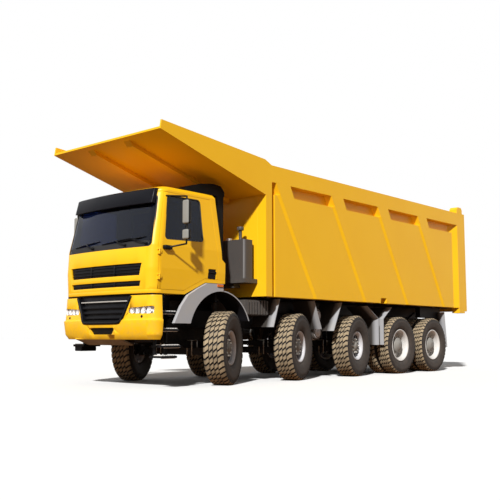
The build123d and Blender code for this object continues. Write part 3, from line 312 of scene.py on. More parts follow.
# Enamels: colour, worn colour, dust, roughness, top of the dust
YELLOW = enamel("sprayed yellow enamel", "#F4BD1A", "#F0B516", "#B79B62", 0.36, 1.9)
BUMPER = enamel("sprayed yellow bumper enamel", "#F4BD1A", "#F0B516", "#B79B62", 0.36, 1.9, skid=SKID)
SILVER = enamel("sprayed silver wheel enamel", "#D6D4D1", "#C9C7C4", "#A89A84", 0.34, 1.3)
LIGHT_GREY = enamel("sprayed light grey enamel", "#CBCBCF", "#BFBFC3", "#978B79", 0.34, 1.3)
# The single rims' discs are darker than their rings: painted shade of the recess inside the ring
DISC_PAINTED_SHADE = enamel("dark grey wheel enamel with painted shade", "#3A3B3F", "#313236", "#5A5147", 0.42, 1.3, dirt=0.4)
HUB_GREY = enamel("sprayed grey hub enamel", "#8B8984", "#7F7D79", "#7B7063", 0.4, 1.3, dirt=0.4)
BLACK = enamel("sprayed black chassis enamel", "#131112", "#0F0E0F", "#3B332B", 0.55, 1.4, dirt=0.45)
TANK_GREY = enamel("sprayed dark grey tank enamel", "#4B4745", "#42403E", "#7A7062", 0.42, 2.2)
# White diffuse reflectors: painted reflection standing in for bright chrome bowls
REFLECTOR_PAINTED_SHINE = enamel(
    "white lamp reflector, painted reflection of chrome", "#F6F5F7", "#ECEBEE", "#D9D4CC", 0.25, 1.3, dirt=0.1
)
CASTING = enamel("sprayed sand-cast iron", "#2A2726", "#252221", "#4E453C", 0.6, 1.9, dirt=0.6)
# The black under the bed floor is partly painted shade under the bed
BED_FLOOR = scuffed_enamel("scuffed sprayed bed floor enamel", "#E3A41A", "#8C8780", "#1B1718", 1.605)
# Plastics: colour, dusty colour, others by kind, roughness
# The fourth colour is the painted shade on the flaps' inner part
GUARD = guard_plastic("moulded grey polyethylene", "#A3A4A8", "#ACA9A3", "#161518", "#3B3734", 0.55)
MIRROR_SHELL = mirror_plastic("lacquered moulded ABS", "#8C8C88", "#7F7E78", "#131315", 0.3)
TRIM = moulded_plastic("moulded black ABS", "#0D0E12", "#191818", 0.42)
VISOR = moulded_plastic("moulded smoked acrylic", "#090A11", "#111218", 0.3)
LINING = moulded_plastic("moulded grey cab lining", "#4A4C52", "#54565C", 0.7)
# Rubbers: colour, dusty colour, share of dust
SIDEWALL = vulcanised_rubber("vulcanised sidewall rubber", "#1F1C1B", "#524840", 0.65)
# The groove rubber is darker than the sidewall's: painted shade in the grooves
GROOVE_PAINTED_SHADE = vulcanised_rubber("groove rubber darkened as painted shade", "#12100F", "#332C27", 0.6)
TREAD = vulcanised_rubber("dusty vulcanised tread rubber", "#655949", "#AE9B7C", 1.0)
SEAL = vulcanised_rubber("extruded window seal rubber", "#0D0C0D", "#232120", 0.3)
# Metals: colour, roughness
STEEL = plated_steel("ground and chromed steel", "#B9BABD", 0.22)
ZINC = plated_steel("hot-dip galvanised steel", "#D2CFC8", 0.38)
MIRROR = plated_steel("silvered mirror glass", "#C9D2DC", 0.03)
# Glasses: colour, transmission
# The windows' navy colour is painted reflection of a dark sky, over the glass's own slight tint
WINDOW_PAINTED_SKY = clear_glass("float glass with painted sky reflection", "#33466C", 0.95)
LENS = clear_glass("moulded clear polycarbonate", "#FDFDFE", 0.97, alpha=0.3)
AMBER = clear_glass("moulded amber acrylic", "#F07A10", 0.3)
RED = clear_glass("moulded red acrylic", "#B01414", 0.3)
CLOTH = seat_cloth("woven seat cloth", "#4A4640", "#6A645A")

FINISH = {
    "axles": BLACK,
    "leaf_springs": BLACK,
    "chassis_frame": BLACK,
    "engine": CASTING,
    "front_bumper": BUMPER,
    "windscreen": WINDOW_PAINTED_SKY,
    "door_glass_left": WINDOW_PAINTED_SKY,
    "door_glass_right": WINDOW_PAINTED_SKY,
    "sun_visor": VISOR,
    "air_intake": TRIM,
    "dashboard": TRIM,
    "grilles": TRIM,
    "mirror_left": MIRROR_SHELL,
    "mirror_right": MIRROR_SHELL,
    "cab_steps": TRIM,
    "mudguards": GUARD,
    "chassis_tanks": TANK_GREY,
    "bed_floor": BED_FLOOR,
    "hoist_barrel": BLACK,
}
WELD = 0.00005
BED_EDGE = 0.006
PLAIN_EDGE = 0.004
SHARP = radians(40)


def finish_of(node):
    """Finish of a carried-over node."""
    if node.startswith("knuckle_"):
        return BLACK
    if node.startswith("hoist_stage"):
        return STEEL
    return FINISH.get(node, YELLOW)


def dress_nodes():
    """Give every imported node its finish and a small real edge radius."""
    for name, node in NODES.items():
        node.data.materials.clear()
        node.data.materials.append(finish_of(name))
        node.modifiers.new("weld", "WELD").merge_threshold = WELD
        edge = node.modifiers.new("edge radius", "BEVEL")
        edge.width = BED_EDGE if name.startswith(("bed_", "tailgate")) else PLAIN_EDGE
        edge.segments = 2
        edge.limit_method = "ANGLE"
        edge.angle_limit = SHARP
        edge.harden_normals = True


def make_piece(name, bm, body, slot, *materials, smooth=False):
    """Turn a bmesh into a piece that rides on a body."""
    mesh = bpy.data.meshes.new(name)
    bmesh.ops.recalc_face_normals(bm, faces=bm.faces)
    bm.to_mesh(mesh)
    bm.free()
    for material in materials:
        mesh.materials.append(material)
    if smooth:
        mesh.shade_smooth()
    obj = bpy.data.objects.new(name, mesh)
    bpy.context.scene.collection.objects.link(obj)
    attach(obj, body)
    return obj


def polar(radius, y, turn):
    """Point at a radius and a turn about Y."""
    return Vector((radius * sin(turn), y, radius * cos(turn)))


def ring_of(bm, profile, segments, placing, index=0, closed=True):
    """Surface of revolution about Y from (radius, y) points; index names one finish or one per stretch."""
    rows = []
    for k in range(segments):
        turn = 2 * pi * k / segments
        rows.append([bm.verts.new(placing @ polar(r, y, turn)) for r, y in profile])
    count = len(profile)
    for k in range(segments):
        here, there = rows[k], rows[(k + 1) % segments]
        for i in range(count if closed else count - 1):
            j = (i + 1) % count
            face = bm.faces.new((here[i], here[j], there[j], there[i]))
            face.material_index = index if isinstance(index, int) else index[i]
            face.smooth = True
    return rows


def disc_of(bm, profile, segments, placing, index=0):
    """Turned cap about Y, closed by a flat face at the profile's first radius."""
    rows = ring_of(bm, profile, segments, placing, index, closed=False)
    bm.faces.new([row[0] for row in rows]).material_index = index


def loft_loops(bm, loops, index=0, closed=True):
    """Join point loops of one length in turn; closed also caps the first and the last."""
    rows = [[bm.verts.new(point) for point in loop] for loop in loops]
    count = len(rows[0])
    for here, there in zip(rows, rows[1:]):
        for i in range(count):
            j = (i + 1) % count
            bm.faces.new((here[i], here[j], there[j], there[i])).material_index = index
    if closed:
        bm.faces.new(rows[0]).material_index = index
        bm.faces.new(rows[-1]).material_index = index
    return rows


def sweep(bm, path, radius, index=0, sides=10, ring=False):
    """Round bar along a path; ring joins its end to its start."""
    count = len(path)
    loops = []
    across = None
    for i, point in enumerate(path):
        before = path[i - 1] if i or ring else point
        after = path[(i + 1) % count] if i < count - 1 or ring else point
        along = (after - before).normalized()
        if across is None:
            across = along.orthogonal()
        across = (across - along * across.dot(along)).normalized()
        other = along.cross(across)
        turns = [2 * pi * k / sides for k in range(sides)]
        loops.append([point + radius * (cos(t) * across + sin(t) * other) for t in turns])
    rows = loft_loops(bm, loops, index, closed=not ring)
    if ring:
        first, last = rows[0], rows[-1]
        near = min(range(sides), key=lambda k: (first[k].co - last[0].co).length)
        for i in range(sides):
            j = (i + 1) % sides
            quad = (last[i], last[j], first[(near + j) % sides], first[(near + i) % sides])
            bm.faces.new(quad).material_index = index
    for face in bm.faces:
        if face.material_index == index:
            face.smooth = len(face.verts) == 4


def rounded_block(bm, low, high, radius):
    """Block between two corners with rounded edges."""
    made = bmesh.ops.create_cube(bm, size=1.0)["verts"]
    for vert in made:
        share = vert.co + Vector((0.5, 0.5, 0.5))
        vert.co = Vector([a + (b - a) * s for a, b, s in zip(low, high, share)])
    edges = list({edge for vert in made for edge in vert.link_edges})
    bmesh.ops.bevel(bm, geom=edges, offset=radius, segments=3, affect="EDGES", profile=0.5)


SKINS = {}


def skin_of(node):
    """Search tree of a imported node's surface."""
    if node not in SKINS:
        mesh = NODES[node].data
        points = [vert.co for vert in mesh.vertices]
        SKINS[node] = BVHTree.FromPolygons(points, [face.vertices for face in mesh.polygons])
    return SKINS[node]


PLATE_SUNK = 0.003


def skin_plate(bm, node, corners, look, steps, proud, index=0):
    """Plate that follows a node's surface: a four-cornered grid cast onto it along a direction."""
    first, second, third, fourth = corners
    across, along = steps
    fronts, backs = [], []
    for i in range(across + 1):
        low = first.lerp(second, i / across)
        high = fourth.lerp(third, i / across)
        column = [skin_of(node).ray_cast(low.lerp(high, j / along), look)[0] for j in range(along + 1)]
        fronts.append([bm.verts.new(point - look * proud) for point in column])
        backs.append([bm.verts.new(point + look * PLATE_SUNK) for point in column])
    for i in range(across):
        for j in range(along):
            for rows in (fronts, backs):
                quad = (rows[i][j], rows[i + 1][j], rows[i + 1][j + 1], rows[i][j + 1])
                bm.faces.new(quad).material_index = index
    rim = [(i, 0) for i in range(across)] + [(across, j) for j in range(along)]
    rim += [(i, along) for i in range(across, 0, -1)] + [(0, j) for j in range(along, 0, -1)]
    for (a, b), (c, d) in zip(rim, rim[1:] + rim[:1]):
        bm.faces.new((fronts[a][b], fronts[c][d], backs[c][d], backs[a][b])).material_index = index


def edge_loop(node, toward):
    """Points in order round the faces of a node that look one way."""
    bm = bmesh.new()
    bm.from_mesh(NODES[node].data)
    bmesh.ops.remove_doubles(bm, verts=bm.verts, dist=2 * WELD)
    bmesh.ops.recalc_face_normals(bm, faces=bm.faces)
    facing_it = {face for face in bm.faces if face.normal.dot(toward) > 0.35}
    links = {}
    for edge in bm.edges:
        if len(facing_it.intersection(edge.link_faces)) == 1:
            a, b = edge.verts
            links.setdefault(a, []).append(b)
            links.setdefault(b, []).append(a)
    start = next(iter(links))
    loop, last, here = [start.co.copy()], None, start
    while True:
        step = next(vert for vert in links[here] if vert is not last)
        if step is start:
            break
        loop.append(step.co.copy())
        last, here = here, step
    bm.free()
    return loop


def evened(loop, spacing):
    """Closed loop resampled at even steps."""
    points = loop + loop[:1]
    lengths = [(b - a).length for a, b in zip(points, points[1:])]
    count = max(8, round(sum(lengths) / spacing))
    step = sum(lengths) / count
    result, travelled, k = [], 0.0, 0
    for i in range(count):
        while travelled + lengths[k] < i * step:
            travelled += lengths[k]
            k += 1
        result.append(points[k].lerp(points[k + 1], (i * step - travelled) / lengths[k]))
    return result


TYRE_R = 0.625
TREAD_DEPTH = 0.026
TREAD_SUNK = 0.006
DUSTY_DEPTH = 0.025
BEAD_INSET = 0.036
BEAD = ((0.0, -0.010), (0.045, 0.0))
SIDEWALL_FOOT = (0.055, 0.012)
SIDEWALL_STEPS = 12
SIDEWALL_TOP = 0.014
CROWN_EDGE = (0.004, 0.030)
TYRE_SEGMENTS = 96
# The sidewall's bulge is this stretch of a half sine, raised to a power that fills it out
BULGE_START, BULGE_LENGTH, BULGE_POWER = 0.12, 0.62, 0.8
BULGE_INSET = 0.004
MOULDED_RINGS = (3, 8, 9)
RING_PROUD = 0.004
SHOULDER = 0.045
# Drop below the tread and inset from the half width, down the outer end of a shoulder block
SHOULDER_BLOCK = ((0.030, 0.014), (0.078, 0.004), (0.090, 0.030))
TYRE_KINDS = {
    # width, bead radius, rim width, blocks round the tyre
    "single": (0.375, 0.2625, 0.270, 36),
    "twin": (0.315, 0.3175, 0.230, 40),
}
TREAD_COLUMNS = (
    # edges as shares of half the crown, turn and slant in pitches, part of the pitch filled
    (-1.0, -0.55, 0.0, -0.46, 0.66),
    (-0.46, -0.05, 0.9, -0.46, 0.64),
    (0.05, 0.46, 0.8, -0.46, 0.64),
    (0.55, 1.0, 0.7, -0.46, 0.66),
)


def wedge(bm, section, turns, placing):
    """Tread block: (radius, y, slant) points carried round the tyre between two angles, dusty on top."""
    loops = [[placing @ polar(r, y, turn + lean) for r, y, lean in section] for turn in turns]
    start, end = loft_loops(bm, loops, 1)
    for i in range(len(section) - 1):
        if (section[i][0] + section[i + 1][0]) / 2 > TYRE_R - DUSTY_DEPTH:
            bm.faces.get((start[i], start[i + 1], end[i + 1], end[i])).material_index = 2


def add_tyre(bm, kind, placing):
    """Carcass with rounded sidewalls and moulded rings, and four columns of slanted tread blocks."""
    width, bead_r, rim_width, count = TYRE_KINDS[kind]
    half = width / 2
    crown = half - SHOULDER
    base = TYRE_R - TREAD_DEPTH
    bead_y = rim_width / 2 - BEAD_INSET
    side = [(bead_r + rise, bead_y + out) for rise, out in BEAD]
    low_r, high_r = bead_r + SIDEWALL_FOOT[0], base - SIDEWALL_TOP
    low_y = bead_y + SIDEWALL_FOOT[1]
    for i in range(SIDEWALL_STEPS + 1):
        share = i / SIDEWALL_STEPS
        bulge = sin(pi * (BULGE_START + BULGE_LENGTH * share)) ** BULGE_POWER
        ring = RING_PROUD if i in MOULDED_RINGS else 0.0
        y = low_y + (half - BULGE_INSET - low_y) * bulge + ring
        side.append((low_r + share * (high_r - low_r), y))
    side += [(base - CROWN_EDGE[0], half - CROWN_EDGE[1]), (base, crown)]
    profile = side + [(r, -y) for r, y in reversed(side)]
    wall = len(side)
    # Index 1, the crown between the blocks, takes the darker groove rubber, whose extra darkness is painted
    # shade
    finish = [0] * (wall - 3) + [1] * 5 + [0] * (wall - 2)
    ring_of(bm, profile, TYRE_SEGMENTS, placing, finish)
    pitch = 2 * pi / count
    sunk = base - TREAD_SUNK
    shoulder = [(TYRE_R - drop, half - inset) for drop, inset in SHOULDER_BLOCK]
    for k in range(count):
        for first, last, turn, slant, filled in TREAD_COLUMNS:
            y0, y1 = first * crown, last * crown
            lean = slant * pitch / 2
            section = [(sunk, y0, -lean), (TYRE_R, y0, -lean), (TYRE_R, y1, lean), (sunk, y1, lean)]
            if last == 1.0:
                section[3:] = [(r, y, lean) for r, y in shoulder]
            if first == -1.0:
                section[:1] = [(r, -y, -lean) for r, y in reversed(shoulder)]
            middle = (k + turn) * pitch
            reach = filled * pitch / 2
            wedge(bm, section, (middle - reach, middle + reach), placing)


def wheel_placing(axle, side):
    """Wheel's own frame: its hub centre, with local Y outward along its axle."""
    joint = JOINTS[f"spin_{axle}_{side}"]
    outward = Vector(joint["axis"]) * (1 if side == "left" else -1)
    turn = Matrix((outward.cross(UP), outward, UP)).transposed().to_4x4()
    return Matrix.Translation(Vector(joint["pos_m"])) @ turn


TO_INNER_TWIN = Matrix.Translation((0, -0.350, 0))


def tyres():
    """Replace the plain tyres by ones with a full tread; twins share one piece."""
    for axle in AXLES:
        for side, _ in SIDES:
            bm = bmesh.new()
            place = wheel_placing(axle, side)
            kind = "single" if axle in STEERED else "twin"
            add_tyre(bm, kind, place)
            if kind == "twin":
                add_tyre(bm, kind, place @ TO_INNER_TWIN)
            name = f"tyre_{axle}_{side}"
            body = f"wheel_{axle}_{side}"
            tyre = make_piece(name + "_tread", bm, body, "tyre_rubber", SIDEWALL, GROOVE_PAINTED_SHADE, TREAD)
            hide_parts(name)


RIM_KINDS = {
    # flange radius, rim width, disc at the hub, hub radius, cap, holes, hole radius, nuts
    "single": (0.300, 0.270, 0.075, 0.118, 0.118, 10, 0.030, 10),
    "twin": (0.355, 0.230, -0.070, 0.165, 0.095, 8, 0.034, 10),
}
RIM_DROP = 0.038
RIM_WALL = 0.016
LIP = 0.014
LIP_TURNS = (-0.8, 0.0, 0.8, 1.57)
DISC_DROP = 0.020
HUB_STEPS = (
    # share of the hub's radius, depth below its cap
    (0.20, 0.0),
    (0.50, 0.002),
    (0.56, 0.010),
    (0.62, 0.012),
    (0.70, 0.030),
    (0.94, 0.036),
    (1.0, 0.046),
)
NUT_R = 0.019
NUT_HEIGHT = 0.026
NUT_STEPS = (
    # shares of the nut's radius and height: washer, flats, chamfer, stud
    (1.25, 0.0),
    (1.25, 0.12),
    (1.0, 0.12),
    (1.0, 0.8),
    (0.8, 1.0),
    (0.45, 1.0),
    (0.45, 1.35),
)
NUT_SUNK = 0.004
BOLT_CIRCLE = 0.020


def barrel(bm, flange_r, width, placing):
    """Rim barrel with a rolled lip on each edge."""
    half = width / 2
    inner_r = flange_r - RIM_DROP - RIM_WALL
    profile = []
    for sign in (1, -1):
        edge = [(inner_r, half - 0.050), (inner_r + 0.008, half - 0.020)]
        edge += [(flange_r - LIP + LIP * sin(t), half - LIP + LIP * cos(t)) for t in LIP_TURNS]
        edge.append((flange_r - RIM_DROP, half - 0.034))
        profile += [(r, sign * y) for r, y in edge[::sign]]
    ring_of(bm, profile, 72, placing)


def disc_sector(bm, radii, depths, hole, spread, placing):
    """One share of a wheel disc, with a round hand hole through its middle."""
    inner_r, outer_r = radii
    sides = 6
    arc = [(i / sides - 0.5) * 2 * spread for i in range(sides)]
    edge = [(inner_r + (outer_r - inner_r) * i / sides, spread) for i in range(sides)]
    border = [(inner_r, a) for a in arc] + edge
    border += [(outer_r, -a) for a in arc] + [(inner_r + outer_r - r, -a) for r, a in edge]
    middle = polar((inner_r + outer_r) / 2, 0, 0)
    loops = []
    for back in (0.0, DISC_DROP):
        outside = [polar(r, 0, a) for r, a in border]
        turns = [2 * pi * (i - sides / 2) / len(border) for i in range(len(border))]
        rim = [middle - polar(hole, 0, -t) for t in turns]
        for loop in (outside, rim):
            for point in loop:
                share = (point.length - inner_r) / (outer_r - inner_r)
                point.y = depths[0] + (depths[1] - depths[0]) * share - back
        loops += [rim, outside] if back else [outside, rim]
    loft_loops(bm, [[placing @ point for point in loop] for loop in loops], 1, closed=False)


def add_nut(bm, radius, turn, depth, placing):
    """Hexagon nut with its stud end on a wheel's bolt circle."""
    centre = polar(radius, depth, turn)
    corners = [turn + 2 * pi * k / 6 for k in range(6)]
    loops = []
    for r, y in NUT_STEPS:
        loops.append([placing @ (centre + polar(NUT_R * r, NUT_HEIGHT * y, a)) for a in corners])
    loft_loops(bm, loops, 3)


def rims():
    """Replace the plain rims by rolled barrels, pierced discs, stepped hubs and their nuts."""
    for axle in AXLES:
        for side, _ in SIDES:
            bm = bmesh.new()
            place = wheel_placing(axle, side)
            kind = "single" if axle in STEERED else "twin"
            flange_r, width, disc_y, hub_r, cap_y, holes, hole_r, nuts = RIM_KINDS[kind]
            inner_r = flange_r - RIM_DROP - RIM_WALL
            barrel(bm, flange_r, width, place)
            if kind == "twin":
                barrel(bm, flange_r, width, place @ TO_INNER_TWIN)
                gap = ((inner_r, -width / 2), (flange_r - RIM_DROP, -width / 2))
                ends = [(r, width / 2 + TO_INNER_TWIN.translation.y) for r, _ in reversed(gap)]
                ring_of(bm, [*gap, *ends], 48, place)
            radii = (hub_r - 0.01, inner_r + 0.004)
            depths = (disc_y, disc_y - DISC_DROP)
            for k in range(holes):
                turned = place @ Matrix.Rotation(2 * pi * k / holes, 4, "Y")
                disc_sector(bm, radii, depths, hole_r, pi / holes, turned)
            hub = [(share * hub_r, cap_y - depth) for share, depth in HUB_STEPS]
            disc_of(bm, [*hub, (hub_r, disc_y - DISC_DROP)], 48, place, 2)
            for k in range(nuts):
                turn = 2 * pi * (k + 0.5) / nuts
                add_nut(bm, hub_r + BOLT_CIRCLE, turn, disc_y - NUT_SUNK, place)
            slot = "front_rim_paint" if kind == "single" else "rear_rim_paint"
            # Single rims: light grey ring, and a dark grey disc as painted shade in its recess
            paints = (LIGHT_GREY, DISC_PAINTED_SHADE) if kind == "single" else (SILVER, SILVER)
            name = f"rim_{axle}_{side}"
            body = f"wheel_{axle}_{side}"
            wheel = make_piece(name + "_detailed", bm, body, slot, *paints, HUB_GREY, ZINC)
            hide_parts(name)


def cast(node, point, look, lift):
    """Point on a node's surface along a direction, lifted off it, and the surface's normal."""
    hit, normal, _, _ = skin_of(node).ray_cast(point, look)
    return hit + normal * lift, normal


def facing(point, outward):
    """Placing whose local Y points outward."""
    return Matrix.Translation(point) @ outward.to_track_quat("Y", "Z").to_matrix().to_4x4()


SEAL_R = 0.016
SEAL_STEP = 0.03


def window_seals():
    """Rubber seals round the windscreen and the door glasses."""
    glasses = [("windscreen", FORWARD, "chassis")]
    glasses += [(f"door_glass_{side}", LEFT * sign, f"door_{side}") for side, sign in SIDES]
    for node, toward, body in glasses:
        bm = bmesh.new()
        sweep(bm, evened(edge_loop(node, toward), SEAL_STEP), SEAL_R, ring=True)
        make_piece(f"{node}_seal", bm, body, "black_plastic", SEAL)


BAND_Z = (2.252, 2.335)
BAND_HALF = 1.03
# Rays onto the front start this far ahead of the front axle
AHEAD = 3.0
WIPERS = (
    # pivot, then the blade's two ends, each across and up the windscreen
    ((-0.30, 2.285), (-0.86, 2.335), (-0.14, 2.395)),
    ((0.52, 2.285), (-0.06, 2.335), (0.66, 2.395)),
    ((0.98, 2.285), (0.40, 2.345), (0.95, 2.400)),
)
BLADE_STEPS = 12
BLADE_LIFT = 0.012
BLADE_R = 0.009
SPINE_LIFT = 0.014
SPINE_R = 0.007
WIPER_ARM_R = 0.010
PIVOT_CAP = ((0.006, 0.045), (0.020, 0.040), (0.026, 0.0))


def windscreen_foot():
    """Black printed band along the foot of the windscreen, with the wipers parked on it."""
    corners = [at(AHEAD, *point) for point in corners_of(-BAND_HALF, BAND_HALF, *BAND_Z)]
    bm = bmesh.new()
    skin_plate(bm, "windscreen", corners, -FORWARD, (36, 2), 0.002)
    make_piece("windscreen_band", bm, "chassis", "black_plastic", SEAL)
    bm = bmesh.new()
    for pivot, start, end in WIPERS:
        ends = [cast("windscreen", at(AHEAD, *point), -FORWARD, 0.020)[0] for point in (start, end)]
        blade = []
        for i in range(BLADE_STEPS + 1):
            point = Vector(start).lerp(Vector(end), i / BLADE_STEPS)
            blade.append(cast("windscreen", at(AHEAD, *point), -FORWARD, BLADE_LIFT)[0])
        sweep(bm, blade, BLADE_R, sides=6)
        sweep(bm, [point + FORWARD * SPINE_LIFT for point in blade[2:-2]], SPINE_R, sides=6)
        foot, outward = cast("windscreen", at(AHEAD, *pivot), -FORWARD, 0.0)
        grip = ends[0].lerp(ends[1], 0.5) + FORWARD * 0.018
        arm = [foot + outward * 0.03, foot.lerp(grip, 0.5) + outward * 0.035, grip]
        sweep(bm, arm, WIPER_ARM_R, sides=8)
        disc_of(bm, PIVOT_CAP, 16, facing(foot, outward))
    make_piece("wipers", bm, "chassis", "black_plastic", TRIM)


BOWLS_Y = (0.715, 0.835, 0.955, 1.070)
BOWL_Z = 1.232
BOWL_R = 0.047
BOWL_DEPTH = 0.040
BOWL_SUNK = 0.010
# A lamp's bowl and bulb as radius and depth
BOWL = [(BOWL_R * share, -BOWL_DEPTH * (1 - share * share)) for share in (0.15, 0.35, 0.55, 0.75, 0.9, 1.0)]
BULB = ((0.004, -0.008), (0.013, -0.012), (0.014, -0.038))


def headlamps():
    """Replace the plain lamps by clear lenses over white reflectors, with four bowls in each; the white is
    painted reflection in place of the bowls' chrome.
    """
    bm = bmesh.new()
    bm.from_mesh(NODES["headlamps"].data)
    bmesh.ops.remove_doubles(bm, verts=bm.verts, dist=WELD)
    bmesh.ops.recalc_face_normals(bm, faces=bm.faces)
    for face in bm.faces:
        face.material_index = 0 if face.normal.dot(FORWARD) > 0.4 else 1
    for _, sign in SIDES:
        for y in BOWLS_Y:
            point, outward = cast("headlamps", at(AHEAD, sign * y, BOWL_Z), -FORWARD, -BOWL_SUNK)
            place = facing(point, (outward + FORWARD).normalized())
            disc_of(bm, BOWL, 24, place, 1)
            disc_of(bm, BULB, 12, place, 2)
    lamps = make_piece("headlamp_lenses", bm, "chassis", "lamp_glass", LENS, REFLECTOR_PAINTED_SHINE, ZINC)
    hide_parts("headlamps")


# Half width, foot, top, how far it stands out, finish
BRIGHT_BAR = (0.60, 1.376, 1.394, 0.006, 1)
SLOT_FINS = (
    # height and half width of the fins in the two upper slots
    (1.835, 0.885),
    (1.885, 0.890),
    (1.935, 0.900),
    (1.655, 0.870),
)
FIN_HALF = 0.007
FIN_PROUD = 0.012
DIVIDER_Y = (-0.30, 0.30)
DIVIDER_HALF = 0.012
DIVIDER_PROUD = 0.015
SLOTS_Z = ((1.795, 1.970), (1.620, 1.692))
TOW_HOLE = (0.938, 1.133)
TOW_CAP = ((0.012, 0.001), (0.022, 0.003), (0.026, -0.004))
GRILLE_FRAME = (
    # half of the frame round the main grille, across and up, from the middle of its foot
    (0.0, 1.036),
    (0.20, 1.036),
    (0.40, 1.038),
    (0.465, 1.048),
    (0.505, 1.085),
    (0.56, 1.190),
    (0.62, 1.312),
    (0.68, 1.434),
    (0.694, 1.462),
)
FRAME_R = 0.024
LINING_IN = (0.010, 0.030)
LINING_DEPTH = 0.075
LINING_MIDDLE_Z = 1.30


def grille_trim():
    """Bar, frame and lining of the main grille, fins and dividers of the upper slots, tow hole caps."""
    bm = bmesh.new()
    rows = [BRIGHT_BAR]
    rows += [(half, z - FIN_HALF, z + FIN_HALF, FIN_PROUD, 0) for z, half in SLOT_FINS]
    for half, low, high, proud, index in rows:
        corners = [at(AHEAD, *point) for point in corners_of(-half, half, low, high)]
        skin_plate(bm, "grilles", corners, -FORWARD, (36, 1), proud, index)
    for y in DIVIDER_Y:
        for heights in SLOTS_Z:
            divider = corners_of(y - DIVIDER_HALF, y + DIVIDER_HALF, *heights)
            corners = [at(AHEAD, *point) for point in divider]
            skin_plate(bm, "grilles", corners, -FORWARD, (1, 4), DIVIDER_PROUD)
    round_it = [(-y, z) for y, z in reversed(GRILLE_FRAME[1:])] + list(GRILLE_FRAME)
    path = [cast("front_bumper", at(AHEAD, y, z), -FORWARD, 0.0)[0] for y, z in round_it]
    sweep(bm, path, FRAME_R)
    lining = []
    run = [2 * path[0] - path[1], *path, 2 * path[-1] - path[-2]]
    for before, point, after in zip(run, run[1:], run[2:]):
        inward = (after - before).cross(FORWARD).normalized()
        middle = Vector((point.x, 0, LINING_MIDDLE_Z))
        inward *= 1 if inward.dot(middle - point) > 0 else -1
        near, far = (point + inward * distance for distance in LINING_IN)
        lining.append([near, far, far - FORWARD * LINING_DEPTH, near - FORWARD * LINING_DEPTH])
    loft_loops(bm, lining)
    y, z = TOW_HOLE
    for _, sign in SIDES:
        point, outward = cast("front_bumper", at(AHEAD, sign * y, z), -FORWARD, 0.0)
        disc_of(bm, TOW_CAP, 20, facing(point, outward))
    make_piece("grille_trim", bm, "chassis", "black_plastic", TRIM, ZINC)


# Rays onto the sides start this far from the middle, and those onto the mirrors from behind them
OUTSIDE = 3.0
BEHIND_MIRROR_X = 0.6
HANDLE_PLATES = (
    # back, front at the foot, front at the top, foot, top, how far it stands out of the pocket or the lever
    (0.203, 0.392, 0.384, 1.788, 1.872, 0.026),
    (0.203, 0.382, 0.378, 1.920, 1.942, 0.026),
    (0.203, 0.387, 0.383, 1.873, 1.919, 0.006),
)
TRIM_X = (0.26, 1.40)
TRIM_Z = (1.83, 2.31)
LINING_PROUD = 0.012
MIRROR_Y = (1.385, 1.485)
MIRROR_GLASS_Z = ((2.640, 2.955), (2.385, 2.485))


def door_fittings():
    """Black handle in its pocket, inner door trim and the mirror glasses, all carried by the doors."""
    for side, sign in SIDES:
        body = f"door_{side}"
        out = LEFT * sign
        bm = bmesh.new()
        for back, foot, head, low, high, proud in HANDLE_PLATES:
            outline = ((back, low), (foot, low), (head, high), (back, high))
            corners = [at(x, OUTSIDE * sign, z) for x, z in outline]
            skin_plate(bm, body, corners, -out, (6, 6), proud)
        make_piece(f"door_handle_{side}", bm, body, "black_plastic", TRIM)
        bm = bmesh.new()
        corners = [at(x, 0, z) for x, z in corners_of(*TRIM_X, *TRIM_Z)]
        skin_plate(bm, body, corners, out, (12, 6), LINING_PROUD)
        make_piece(f"door_trim_{side}", bm, body, "black_plastic", LINING)
        bm = bmesh.new()
        for heights in MIRROR_GLASS_Z:
            corners = [at(BEHIND_MIRROR_X, sign * y, z) for y, z in corners_of(*MIRROR_Y, *heights)]
            skin_plate(bm, f"mirror_{side}", corners, FORWARD, (2, 4), 0.002)
        make_piece(f"mirror_glass_{side}", bm, body, "glass", MIRROR)


WALL_LINING = ((-1.04, 1.86), (1.04, 1.86), (1.0, 3.10), (-1.0, 3.10))
ROOF_LINING = corners_of(0.34, 1.24, -0.90, 0.90)
FLOOR_LINING = corners_of(0.10, 1.42, -1.0, 1.0)


def cab_lining():
    """Grey lining on the cab's back wall, roof and floor."""
    bm = bmesh.new()
    wall = [at(1.0, *point) for point in WALL_LINING]
    skin_plate(bm, "cab_back", wall, -FORWARD, (8, 8), LINING_PROUD)
    roof = [at(*point, 2.9) for point in ROOF_LINING]
    skin_plate(bm, "cab_roof", roof, UP, (6, 8), LINING_PROUD)
    floor = [at(*point, 2.4) for point in FLOOR_LINING]
    skin_plate(bm, "cab_floor", floor, -UP, (16, 6), 0.010)
    make_piece("cab_lining", bm, "chassis", "black_plastic", LINING)


PAD_ROWS = 14
PAD_COLUMNS = 36
SQUARENESS = 0.42
SEAM_DRAW = 0.012
SEAM_REACH = 0.03


def pad(bm, size, placing, seams):
    """Crowned cushion: a superellipsoid whose front is drawn in along sewn channels across its width."""
    loops = []
    for i in range(1, PAD_ROWS):
        up = pi * (i / PAD_ROWS - 0.5)
        loop = []
        for k in range(PAD_COLUMNS):
            turn = 2 * pi * k / PAD_COLUMNS
            shape = []
            for value in (cos(up) * cos(turn), cos(up) * sin(turn), sin(up)):
                shape.append(abs(value) ** SQUARENESS * (1 if value > 0 else -1))
            x, y, z = (width * share / 2 for width, share in zip(size, shape))
            draw = sum(SEAM_DRAW * max(0.0, 1 - abs(y - seam) / SEAM_REACH) for seam in seams)
            loop.append(placing @ Vector((x, y, z - draw if z > 0 else z)))
        loops.append(loop)
    loft_loops(bm, loops)


